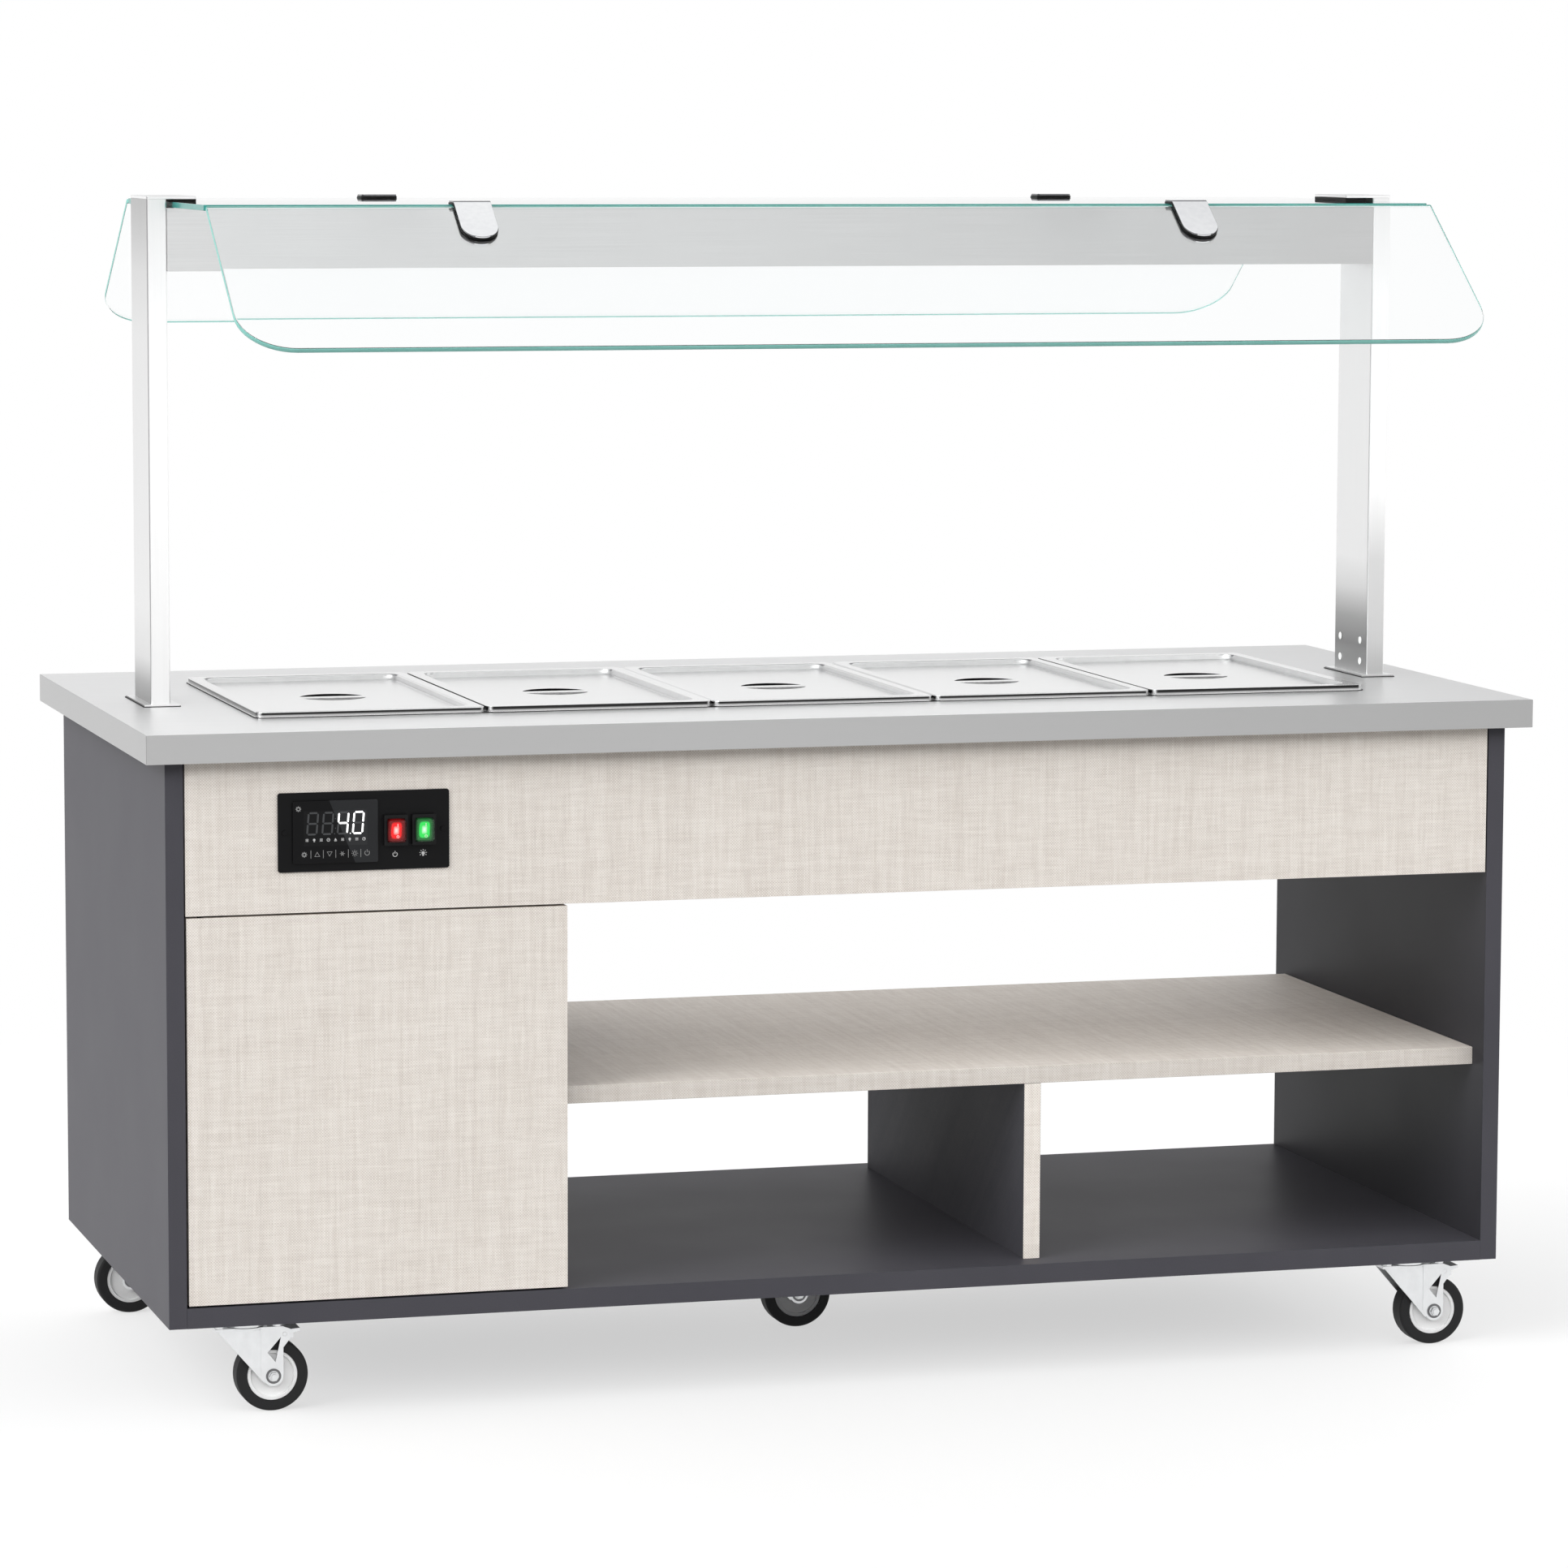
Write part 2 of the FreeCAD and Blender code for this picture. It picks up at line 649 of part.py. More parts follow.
# Posts, light housing and glass
def post(side):
    x = side * (post_outer - post_thickness / 2)
    foot = top_height + flange_thickness
    flange = box((x - post_thickness / 2 - flange_reach, -post_width / 2 - flange_reach, top_height),
                 (x + post_thickness / 2 + flange_reach, post_width / 2 + flange_reach, foot))
    tube = slab(post_thickness, post_width, post_corner, (x, 0), top_height, post_top)
    bore = slab(post_thickness - 2 * post_wall, post_width - 2 * post_wall,
                post_corner - post_wall, (x, 0), foot, post_top + 1)
    inner = side * post_inner
    holes = [cylinder(wire_hole, (inner - side * 4, y, top_height + h), 8, (side, 0, 0))
             for y in (-wire_hole_spread, wire_hole_spread) for h in wire_hole_heights]
    return tube.fuse(flange).removeSplitter().cut(bore).cut(Part.makeCompound(holes))


def post_cap(side):
    low, high = sorted((side * post_outer, side * (post_inner - cap_reach)))
    centre = ((low + high) / 2, 0)
    return slab(high - low, post_width, post_corner, centre, post_top, post_top + cap_thickness)


def light_housing():
    half = post_width / 2
    low = glass_bottom - housing_height
    shell = box((-post_inner, -half, low), (post_inner, half, glass_bottom))
    wall = post_wall
    end = post_inner + 1
    shell = shell.cut(box((-end, -half + wall, low + wall), (end, half - wall, glass_bottom - wall)))
    return shell.cut(box((-end, -half + housing_lip, low - 1), (end, half - housing_lip, low + wall + 1)))


def led_batten():
    high = glass_bottom - post_wall
    low = high - batten_height
    end = batten_length / 2
    tray = box((-end, -batten_width / 2, low + lens_depth), (end, batten_width / 2, high))
    lens = cylinder(lens_radius, (-end, 0, low + lens_radius), batten_length, (1, 0, 0))
    return fused([tray, lens])


def pane_frame(shape):
    # Lays a piece drawn flat from y = 0 towards -Y as the front pane, hinged at the top edge.
    placed_shape = shape.copy()
    placed_shape.rotate(V(0, 0, 0), V(1, 0, 0), pane_tilt)
    placed_shape.translate(V(0, -glass_depth / 2 - pane_gap, glass_top - glass / 2))
    return placed_shape


def front_pane():
    half = glass_length / 2
    r = pane_corner
    s = r * (1 - math.sqrt(0.5))
    low = -pane_length
    z = -glass / 2
    edges = [
        Part.LineSegment(V(-half, 0, z), V(-half, low + r, z)).toShape(),
        Part.Arc(V(-half, low + r, z), V(-half + s, low + s, z), V(-half + r, low, z)).toShape(),
        Part.LineSegment(V(-half + r, low, z), V(half - r, low, z)).toShape(),
        Part.Arc(V(half - r, low, z), V(half - s, low + s, z), V(half, low + r, z)).toShape(),
        Part.LineSegment(V(half, low + r, z), V(half, 0, z)).toShape(),
        Part.LineSegment(V(half, 0, z), V(-half, 0, z)).toShape(),
    ]
    return pane_frame(Part.Face(Part.Wire(edges)).extrude(V(0, 0, glass)))


def jaw(x, direction, z, hold):
    # A D-shaped plate: straight across the joint, round at the far end.
    r = clamp_width / 2
    thickness = clamp_plate
    straight = hold - r
    low, high = sorted((0, direction * straight))
    flat = box((x - r, low, z), (x + r, high, z + thickness))
    low, high = sorted((direction * straight, direction * hold))
    end = cylinder(r, (x, direction * straight, z), thickness).common(
        box((x - r, low, z), (x + r, high, z + thickness)))
    return flat.fuse(end).removeSplitter()


def clamp(x):
    # Two pairs of jaws round the edges of the top glass and the pane, joined by a web between the edges.
    face = glass / 2 + gasket
    edge = -glass_depth / 2
    middle = glass_top - glass / 2
    half = clamp_width / 2
    reach = face + clamp_plate
    web_high = edge - gasket
    web_low = web_high - clamp_web
    parts = [box((x - half, web_low, middle - reach), (x + half, web_high, middle + reach))]
    for low in (face, -reach):
        flat = jaw(x, 1, low, clamp_hold)
        flat.translate(V(0, edge, middle))
        slanted = pane_frame(jaw(x, -1, low, clamp_drop))
        level = box((x - half, web_low, middle + low), (x + half, edge, middle + low + clamp_plate))
        parts += [flat, level, slanted]
    bridge = box((x - half, edge - pane_gap - 7, middle + face + 1), (x + half, web_high, middle + reach))
    return fused(parts + [bridge])


def canopy():
    write("left_post", post(-1))
    write("right_post", post(1))
    write("post_caps", [post_cap(-1), post_cap(1)])
    write("light_housing", light_housing())
    write("led_batten", led_batten())
    write("top_glass", slab(glass_length, glass_depth, glass_corner, (0, 0), glass_bottom, glass_top))
    pane = front_pane()
    write("front_glass", pane)
    write("rear_glass", mirrored(pane))
    clamps = [clamp(x) for x in (-clamp_x, clamp_x)]
    write("glass_clamps", clamps + [mirrored(piece) for piece in clamps])


# Controls and inlet
def rocker_body(x):
    # A segment about the pivot with two flats that meet at a shallow angle, on two stub pins.
    face = -carcass_y - plate_thickness - frame_thickness
    pivot = V(x, face + rocker_pivot_depth, plate_z)
    radius = frame_opening_height / 2 - rocker_gap
    half = frame_opening_width / 2 - rocker_gap
    drum = Part.makeCylinder(radius, 2 * half, V(x - half, pivot.y, plate_z), V(1, 0, 0))
    front = face - rocker_rise
    drop = radius * math.tan(math.radians(rocker_tilt))
    profile = [V(x - half, front + drop, plate_z), V(x - half, front, plate_z + radius + 1),
               V(x - half, face + rocker_body_depth, plate_z + radius + 1),
               V(x - half, face + rocker_body_depth, plate_z - radius - 1),
               V(x - half, front, plate_z - radius - 1)]
    keep = Part.Face(Part.makePolygon(profile + profile[:1])).extrude(V(2 * half, 0, 0))
    reach = frame_opening_width / 2 + frame_wall
    pin = Part.makeCylinder(pin_radius, 2 * reach, V(x - reach, pivot.y, plate_z), V(1, 0, 0))
    rocker = drum.common(keep).fuse(pin).removeSplitter()
    rocker.rotate(pivot, V(1, 0, 0), rocker_tilt)
    return rocker


def rocker_frame(x):
    face = -carcass_y - plate_thickness - frame_thickness
    back = -carcass_y - plate_thickness
    bezel = front_slab(frame_width, frame_height, frame_round, (x, plate_z), face, back)
    half = frame_opening_width / 2
    tall = frame_opening_height / 2
    deep = -carcass_y + frame_depth
    sleeve = box((x - half - frame_wall, face + 1, plate_z - tall - frame_wall),
                 (x + half + frame_wall, deep, plate_z + tall + frame_wall))
    hollow = box((x - half, face - 1, plate_z - tall), (x + half, deep - frame_wall, plate_z + tall))
    reach = half + frame_wall + 1
    start = V(x - reach, face + rocker_pivot_depth, plate_z)
    holes = Part.makeCylinder(pin_radius + fit, 2 * reach, start, V(1, 0, 0))
    return bezel.fuse(sleeve).removeSplitter().cut(hollow).cut(holes)


def controls():
    face = -carcass_y - plate_thickness
    plate = front_slab(plate_width, plate_height, plate_corner, (plate_x, plate_z), face, -carcass_y)
    cutters = control_cutouts()
    for side in (-1, 1):
        x = plate_x + side * (plate_width / 2 - plate_screw_inset)
        cutters.append(cylinder(screw_shank + fit, (x, face - 1, plate_z), plate_thickness + 2, (0, 1, 0)))
    write("control_plate", plate.cut(Part.makeCompound(cutters)))
    front = face - bezel_thickness
    bezel = front_slab(bezel_width, bezel_height, bezel_corner, (bezel_x, plate_z), front, face)
    half = bezel_width / 2 - body_margin
    tall = bezel_height / 2 - body_margin
    body = box((bezel_x - half, face - 1, plate_z - tall),
               (bezel_x + half, -carcass_y + controller_depth, plate_z + tall))
    write("temperature_controller", bezel.fuse(body).removeSplitter())
    write("rocker_frames", [rocker_frame(x) for x in rocker_x])
    for name, x in zip(("power_rocker", "light_rocker"), rocker_x):
        write(name, rocker_body(x))


def power_inlet():
    half = inlet_body / 2
    outer = carcass_y + plate_thickness
    flange = front_slab(inlet_flange, inlet_flange, inlet_round, (inlet_x, plate_z), carcass_y, outer)
    body = box((inlet_x - half, carcass_y - inlet_depth, plate_z - half),
               (inlet_x + half, carcass_y + 1, plate_z + half))
    wall = inlet_wall
    hollow = box((inlet_x - half + wall, carcass_y - inlet_depth + inlet_base, plate_z - half + wall),
                 (inlet_x + half - wall, outer + 1, plate_z + half - wall))
    shell = flange.fuse(body).removeSplitter().cut(hollow)
    thick, tall = inlet_pin
    pins = [box((inlet_x + dx - thick / 2, carcass_y - inlet_depth + wall, plate_z + dz - tall / 2),
                (inlet_x + dx + thick / 2, carcass_y - inlet_pin_setback, plate_z + dz + tall / 2))
            for dx, dz in inlet_pin_spots]
    write("power_inlet", fused([shell] + pins))


all_casters()
fasteners()
carcass()
aprons()
door()
countertop()
well_tank()
write("heating_elements", [heater(x) for x in pan_centres])
pans_and_lids()
canopy()
controls()
power_inlet()
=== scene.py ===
import json
import math

import bmesh
import bpy
from mathutils import Matrix, Vector


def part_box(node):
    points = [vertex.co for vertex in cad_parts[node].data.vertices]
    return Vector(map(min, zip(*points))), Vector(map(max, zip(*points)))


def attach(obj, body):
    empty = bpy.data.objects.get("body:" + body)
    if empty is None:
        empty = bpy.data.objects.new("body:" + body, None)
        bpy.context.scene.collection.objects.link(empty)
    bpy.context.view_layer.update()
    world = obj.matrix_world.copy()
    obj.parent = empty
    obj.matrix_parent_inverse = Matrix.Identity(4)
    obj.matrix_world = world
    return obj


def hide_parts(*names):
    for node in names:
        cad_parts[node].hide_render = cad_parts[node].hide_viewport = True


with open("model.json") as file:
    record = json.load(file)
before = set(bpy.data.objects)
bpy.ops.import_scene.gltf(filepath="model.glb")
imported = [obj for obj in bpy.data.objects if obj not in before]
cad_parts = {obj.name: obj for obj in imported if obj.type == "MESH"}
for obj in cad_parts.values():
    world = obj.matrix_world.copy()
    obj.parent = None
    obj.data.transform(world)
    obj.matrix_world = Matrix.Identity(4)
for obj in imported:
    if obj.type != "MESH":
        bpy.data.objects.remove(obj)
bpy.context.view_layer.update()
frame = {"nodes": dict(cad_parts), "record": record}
nodes = frame["nodes"]
record = frame["record"]
casters = ("front_left", "front_right", "rear_left", "rear_right", "centre")
numbers = range(1, 6)
mm = 0.001


def grey(tone):
    return (tone, tone, tone, 1)


def darkened(colour, share):
    return tuple(share * part for part in colour[:3]) + (1,)


# Finishes, as linear colours
linen_dark = (0.57, 0.51, 0.46, 1)
linen_mid = (0.735, 0.682, 0.627, 1)
linen_light = (0.86, 0.82, 0.77, 1)
anthracite = (0.060, 0.059, 0.069, 1)
anthracite_light = (0.074, 0.072, 0.084, 1)
# Painted shade for the inner faces of the side panels, which lie in the bays' shade
inner_shade_dark = (0.030, 0.030, 0.035, 1)
inner_shade_light = (0.038, 0.037, 0.043, 1)
board_dark = (0.36, 0.34, 0.32, 1)
board_light = (0.54, 0.52, 0.50, 1)
steel_pale = grey(0.90)
steel_side_shade = grey(0.455)
post_pale = grey(0.99)
cap_pale = grey(0.95)
housing_pale = grey(0.72)
lid_pale = grey(0.88)
skirt_pale = grey(0.8)
slope_pale = grey(0.78)
recess_shade_black = (0.012, 0.012, 0.013, 1)
well_grey = grey(0.62)
heater_brown = (0.30, 0.27, 0.25, 1)
zinc_pale = (0.78, 0.79, 0.80, 1)
washer_shade_grey = (0.16, 0.16, 0.165, 1)
chrome_dark = (0.80, 0.81, 0.83, 1)
chrome_light = (0.9, 0.91, 0.92, 1)
leaf_edge_shade = (0.22, 0.22, 0.23, 1)
glass_tint = (0.975, 0.985, 0.987, 1)
glass_clear = (0.985, 0.992, 0.994, 1)
glass_shadow = (0.96, 0.98, 0.98, 1)
edge_green = (0.19, 0.52, 0.46, 1)
edge_green_light = (0.26, 0.60, 0.54, 1)
edge_deep = (0.02, 0.24, 0.21, 1)
edge_deep_light = (0.06, 0.34, 0.30, 1)
rubber_black = (0.014, 0.014, 0.015, 1)
pad_black = grey(0.006)
hub_grey = grey(0.93)
plug_pale = (0.93, 0.93, 0.92, 1)
lamp_pale = (0.86, 0.86, 0.84, 1)
panel_black = (0.006, 0.006, 0.0065, 1)
screen_deep = (0.005, 0.005, 0.0055, 1)
screen_painted_sheen = (0.026, 0.027, 0.029, 1)
window_deep = (0.008, 0.008, 0.0085, 1)
window_painted_sheen = (0.034, 0.035, 0.037, 1)
print_white = grey(0.5)
print_grey = grey(0.27)
print_lit = grey(1.0)
print_dim = (0.035, 0.037, 0.04, 1)
mark_tone = (0.75, 0.7, 0.68, 1)
hood_red_tint = (0.11, 0.002, 0.003, 1)
hood_green_tint = (0.035, 0.10, 0.05, 1)
red_deep = (0.9, 0.012, 0.014, 1)
red_bright = (1.0, 0.75, 0.7, 1)
green_deep = (0.02, 0.75, 0.09, 1)
green_bright = (0.75, 1.0, 0.8, 1)
black = grey(0)
white = grey(1)

# Directions in which a face can look, either way round, and how much of one its normal has
sideways = (1, 0, 0)
frontways = (0, 1, 0)
upwards = (0, 0, 1)
facing_from = 0.75
facing_full = 0.95
steep = 0.3
flat = 0.9

# The laminate's weave: threads in a metre, their slubs, and soft bands along and across
thread_count = 510.0
thread_step = 7.31
slub_rate = 26.0
wobble_scale = 25.0
wobble_reach = 1.5 * mm
cell_contrast = 0.38
upright_bands = (150.0, 4.0, 4.0)
upright_share = 0.5
level_bands = (6.0, 120.0, 120.0)
level_share = 0.3
tone_middle = 0.9
board_gloss = 0.12

# The guard's slanted panes
pane_tilt = math.radians(36)

# The lit field in each rocker
lit_width = 14.5 * mm
lit_height = 22 * mm
lit_squareness = 4.0
ring_share = 0.14
rim_share = 0.02
rocker_glow = 1.2

# The painted sheen on the display, a painted reflection to the right of a slanting line
screen_low, screen_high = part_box("temperature_controller")
sheen_lean = 0.42
sheen_share = 0.58
sheen_blur = 0.4 * mm
sheen_edge = (screen_low[0] + sheen_share * (screen_high[0] - screen_low[0])
              + sheen_lean * (screen_low[2] + screen_high[2]) / 2)

# Widths of rounded edges
board_round = 0.7 * mm
counter_round = 1.8 * mm
pan_round = 0.5 * mm
lid_round = 0.4 * mm
post_round = 0.6 * mm
cap_round = 0.8 * mm
housing_round = 0.6 * mm
sheet_arris = 0.6 * mm
pane_arris = 2.2 * mm
plate_round = 0.6 * mm
moulding_round = 0.8 * mm
screw_round = 0.3 * mm
fork_round = 0.5 * mm
tyre_round = 0.5 * mm
pedal_round = 0.6 * mm
trim_round = 0.5 * mm

# Points closer than this are merged
weld = 0.001 * mm

# Angles in degrees between faces: merged, shaded as an edge, rounded on a copied node, rounded on a new piece
merge_angle = 0.5
shade_angle = 35
sharp_angle = 25
corner_angle = 60


def body_of(node_name):
    for body, members in record["behaviour"]["bodies"].items():
        if node_name in members:
            return body


def box_of(name):
    low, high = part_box(name)
    return Vector(low), Vector(high)


def middle_of(name):
    low, high = box_of(name)
    return (low + high) / 2


# Shader nodes
def node(tree, kind, inputs=None, **settings):
    # A shader node; its inputs, by name or number, are plain values or sockets of other nodes.
    made = tree.nodes.new(kind)
    for key, value in settings.items():
        setattr(made, key, value)
    for key, value in (inputs or {}).items():
        if isinstance(value, bpy.types.NodeSocket):
            tree.links.new(value, made.inputs[key])
        else:
            made.inputs[key].default_value = value
    return made


def math_node(tree, operation, a, b=0.0):
    return node(tree, "ShaderNodeMath", {0: a, 1: b}, operation=operation).outputs[0]


def plus(tree, a, b):
    return math_node(tree, "ADD", a, b)


def times(tree, a, b):
    return math_node(tree, "MULTIPLY", a, b)


def weighted(tree, first, second, share):
    # A blend of two values in which the first has the given share.
    return plus(tree, times(tree, first, share), times(tree, second, 1 - share))


def vector_node(tree, operation, a, b=(0.0, 0.0, 0.0)):
    return node(tree, "ShaderNodeVectorMath", {0: a, 1: b}, operation=operation).outputs


def stretched(tree, vector, factors):
    return vector_node(tree, "MULTIPLY", vector, factors)["Vector"]


def object_place(tree):
    return node(tree, "ShaderNodeTexCoord").outputs["Object"]


def separated(tree, vector):
    return node(tree, "ShaderNodeSeparateXYZ", {0: vector}).outputs


def noise(tree, vector, scale, detail=2.0):
    inputs = {"Vector": vector, "Scale": scale, "Detail": detail}
    return node(tree, "ShaderNodeTexNoise", inputs).outputs["Fac"]


def map_range(tree, value, first, last, low=0.0, high=1.0, kind="LINEAR"):
    inputs = {"Value": value, "From Min": first, "From Max": last, "To Min": low, "To Max": high}
    return node(tree, "ShaderNodeMapRange", inputs, interpolation_type=kind).outputs[0]


def ramp(tree, factor, *stops):
    # A colour ramp with stops given as (position, colour).
    made = node(tree, "ShaderNodeValToRGB", {"Fac": factor})
    elements = made.color_ramp.elements
    while len(elements) < len(stops):
        elements.new(0.5)
    for element, (position, colour) in zip(elements, stops):
        element.position = position
        element.color = colour
    return made.outputs["Color"]


def blend_colour(tree, factor, first, second, blend_type="MIX"):
    inputs = {0: factor, 6: first, 7: second}
    return node(tree, "ShaderNodeMix", inputs, data_type="RGBA", blend_type=blend_type).outputs[2]


def mix_shaders(tree, factor, first, second):
    return node(tree, "ShaderNodeMixShader", {0: factor, 1: first, 2: second}).outputs[0]


# Shader node groups
def new_group(name, outputs, **inputs):
    # A node group with numbers as outputs, and numbers or vectors as inputs.
    group = bpy.data.node_groups.new(name, "ShaderNodeTree")
    for label, value in inputs.items():
        kind = "NodeSocketVector" if isinstance(value, tuple) else "NodeSocketFloat"
        group.interface.new_socket(label, in_out="INPUT", socket_type=kind).default_value = value
    for label in outputs:
        group.interface.new_socket(label, in_out="OUTPUT", socket_type="NodeSocketFloat")
    return group, group.nodes.new("NodeGroupInput").outputs, group.nodes.new("NodeGroupOutput").inputs


def thread_tone(group, index, run, seed):
    # An uneven tone along one thread, different for each thread.
    place = {0: times(group, index, thread_step), 1: times(group, run, slub_rate), 2: seed}
    return noise(group, node(group, "ShaderNodeCombineXYZ", place).outputs[0], 1.0)


def make_weave_group():
    # Plain weave: warp and weft cross over and under, with slubs along the threads and soft bands.
    group, source, target = new_group("linen_weave", ("Tone", "Height"), Threads=thread_count, Slub=1.0)
    coord = object_place(group)
    split = separated(group, coord)
    wobble = times(group, noise(group, coord, wobble_scale), wobble_reach)
    along = plus(group, split["X"], wobble)
    across = plus(group, plus(group, split["Y"], split["Z"]), wobble)
    waves = []
    painted_light_tones = []
    for place, run, seed in ((along, across, 0.0), (across, along, 50.0)):
        counted = times(group, place, source["Threads"])
        waves.append(math_node(group, "SINE", times(group, counted, math.pi)))
        painted_light_tones.append(thread_tone(group, math_node(group, "FLOOR", counted), run, seed))
    cells = times(group, *waves)
    over = plus(group, times(group, cells, 0.5), 0.5)
    warp_less_weft = math_node(group, "SUBTRACT", *painted_light_tones)
    threads = plus(group, painted_light_tones[1], times(group, over, warp_less_weft))
    uneven = threads
    for bands, share in ((upright_bands, upright_share), (level_bands, level_share)):
        band = noise(group, stretched(group, coord, bands), 1.0)
        uneven = plus(group, uneven, times(group, band, share))
    uneven = times(group, math_node(group, "SUBTRACT", uneven, tone_middle), source["Slub"])
    tone = plus(group, times(group, cells, cell_contrast), 0.5)
    height = plus(group, math_node(group, "ABSOLUTE", cells), threads)
    group.links.new(plus(group, tone, uneven), target["Tone"])
    group.links.new(height, target["Height"])
    return group


def make_brush_group():
    # Fine parallel brush lines, long along the direction in which Stretch is small.
    group, source, target = new_group("brushed_lines", ("Tone", "Height"), Stretch=(6.0, 700.0, 700.0))
    coord = object_place(group)
    lines = noise(group, stretched(group, coord, source["Stretch"]), 1.0, detail=4.0)
    smears = noise(group, coord, scale=5.0, detail=3.0)
    group.links.new(weighted(group, lines, smears, share=0.7), target["Tone"])
    group.links.new(lines, target["Height"])
    return group


def make_grain_group():
    # Small irregular grain for moulded, laminated and painted faces.
    group, source, target = new_group("fine_grain", ("Tone", "Height"), Scale=900.0)
    coord = object_place(group)
    fine = noise(group, coord, source["Scale"], detail=3.0)
    broad = noise(group, coord, scale=7.0, detail=4.0)
    group.links.new(weighted(group, fine, broad, share=0.5), target["Tone"])
    group.links.new(fine, target["Height"])
    return group


def make_facing_group():
    # 1 on faces that look along the given direction, either way round, and 0 on faces square to it.
    group, source, target = new_group("facing", ("Mask",), Direction=upwards)
    normal = node(group, "ShaderNodeTexCoord").outputs["Normal"]
    dot = vector_node(group, "DOT_PRODUCT", normal, source["Direction"])["Value"]
    level = math_node(group, "ABSOLUTE", dot)
    group.links.new(map_range(group, level, facing_from, facing_full, kind="SMOOTHSTEP"), target["Mask"])
    return group


weave_group = make_weave_group()
brush_group = make_brush_group()
grain_group = make_grain_group()
facing_group = make_facing_group()


# Materials
def new_material(name, **sockets):
    material = bpy.data.materials.new(name)
    material.use_nodes = True
    shader = material.node_tree.nodes["Principled BSDF"]
    for label, value in sockets.items():
        shader.inputs[label.replace("_", " ")].default_value = value
    return material, material.node_tree, shader


def use_group(tree, group, **values):
    return node(tree, "ShaderNodeGroup", values, node_tree=group).outputs


def facing(tree, direction):
    return use_group(tree, facing_group, Direction=direction)["Mask"]


def bump(tree, shader, height, strength, distance):
    inputs = {"Strength": strength, "Distance": distance, "Height": height}
    tree.links.new(node(tree, "ShaderNodeBump", inputs).outputs["Normal"], shader.inputs["Normal"])


def vary_roughness(tree, shader, factor, low, high):
    tree.links.new(map_range(tree, factor, 0.0, 1.0, low, high), shader.inputs["Roughness"])


def along_axis(tree, axis, stops):
    # A grey tone that changes along one axis of the object, with stops given as (metres, tone).
    first, last = stops[0][0], stops[-1][0]
    place = map_range(tree, separated(tree, object_place(tree))[axis], first, last)
    return ramp(tree, place, *(((metres - first) / (last - first), grey(tone)) for metres, tone in stops))


def grained_material(name, scale, dark, light, low=0.3, rough=None, relief=None, feeds=("Base Color",),
                     **sockets):
    # Fine grain between two tones; rough is a range of roughness and relief a bump's (strength, depth).
    material, tree, shader = new_material(name, **sockets)
    grain = use_group(tree, grain_group, Scale=scale)
    colour = ramp(tree, grain["Tone"], (low, dark), (1 - low, light))
    for label in feeds:
        tree.links.new(colour, shader.inputs[label])
    if rough:
        vary_roughness(tree, shader, grain["Tone"], *rough)
    if relief:
        bump(tree, shader, grain["Height"], *relief)
    return material


def linen_material(name, edge_only=False, painted_light_tones=()):
    # Woven laminate; each tone entry is (direction, tone), painted light and shade for the faces that look
    # that way.
    material, tree, shader = new_material(name)
    weave = use_group(tree, weave_group, Threads=thread_count, Slub=1.0)
    colour = ramp(tree, weave["Tone"], (0.05, linen_dark), (0.5, linen_mid), (0.95, linen_light))
    if edge_only:
        # Dark board with a woven band on the narrow front and back edges.
        shader.inputs["Specular IOR Level"].default_value = board_gloss
        colour = blend_colour(tree, facing(tree, frontways), anthracite, colour)
    for direction, tone in painted_light_tones:
        colour = blend_colour(tree, facing(tree, direction), colour, grey(tone), "MULTIPLY")
    tree.links.new(colour, shader.inputs["Base Color"])
    vary_roughness(tree, shader, weave["Tone"], low=0.5, high=0.68)
    bump(tree, shader, weave["Height"], strength=0.35, distance=0.3 * mm)
    return material


def melamine_material(name, dark, light):
    return grained_material(name, 700.0, dark, light, rough=(0.38, 0.56), relief=(0.25, 0.2 * mm),
                            Specular_IOR_Level=board_gloss)


def steel_material(name, pale, stretch, edge=None, rough=(0.24, 0.42), painted_fades=(), dull=0.9):
    # Brushed steel; dull is the tone of its brush lines, edge a painted shade colour for faces that don't
    # look up or down.
    # Each fade is (axis, direction, stops): a painted shade and reflection tone along that axis on the faces
    # that look that way.
    material, tree, shader = new_material(name, Metallic=1.0)
    brush = use_group(tree, brush_group, Stretch=stretch)
    colour = ramp(tree, brush["Tone"], (0.3, darkened(pale, dull)), (0.7, pale))
    if edge:
        colour = blend_colour(tree, facing(tree, upwards), edge, colour)
    for axis, direction, stops in painted_fades:
        tone = along_axis(tree, axis, stops)
        colour = blend_colour(tree, facing(tree, direction), colour, tone, "MULTIPLY")
    tree.links.new(colour, shader.inputs["Base Color"])
    vary_roughness(tree, shader, brush["Tone"], *rough)
    bump(tree, shader, brush["Height"], strength=0.06, distance=0.2 * mm)
    return material


def glass_material():
    # Clear glass; light passes to what is behind it.
    material = grained_material("clear_glass", 3.0, glass_tint, glass_clear, IOR=1.5, Roughness=0.0,
                                Transmission_Weight=1.0)
    tree = material.node_tree
    glass = tree.nodes["Principled BSDF"].outputs[0]
    shadow = node(tree, "ShaderNodeLightPath").outputs["Is Shadow Ray"]
    open_way = node(tree, "ShaderNodeBsdfTransparent", {"Color": glass_shadow}).outputs[0]
    surface = mix_shaders(tree, shadow, glass, open_way)
    tree.links.new(surface, tree.nodes["Material Output"].inputs["Surface"])
    return material


def glass_edge_material(name, deep, light):
    # Ground and polished edge of thick glass, which looks solid green.
    return grained_material(name, 30.0, deep, light, Roughness=0.2)


def moulded_material(name, colour, rough, scale, depth=0.1 * mm, gloss=0.5):
    # Plastic or rubber with a fine grain and slightly uneven tone.
    return grained_material(name, scale, darkened(colour, 0.82), colour, rough=(rough - 0.06, rough + 0.06),
                            relief=(0.3, depth), Specular_IOR_Level=gloss)


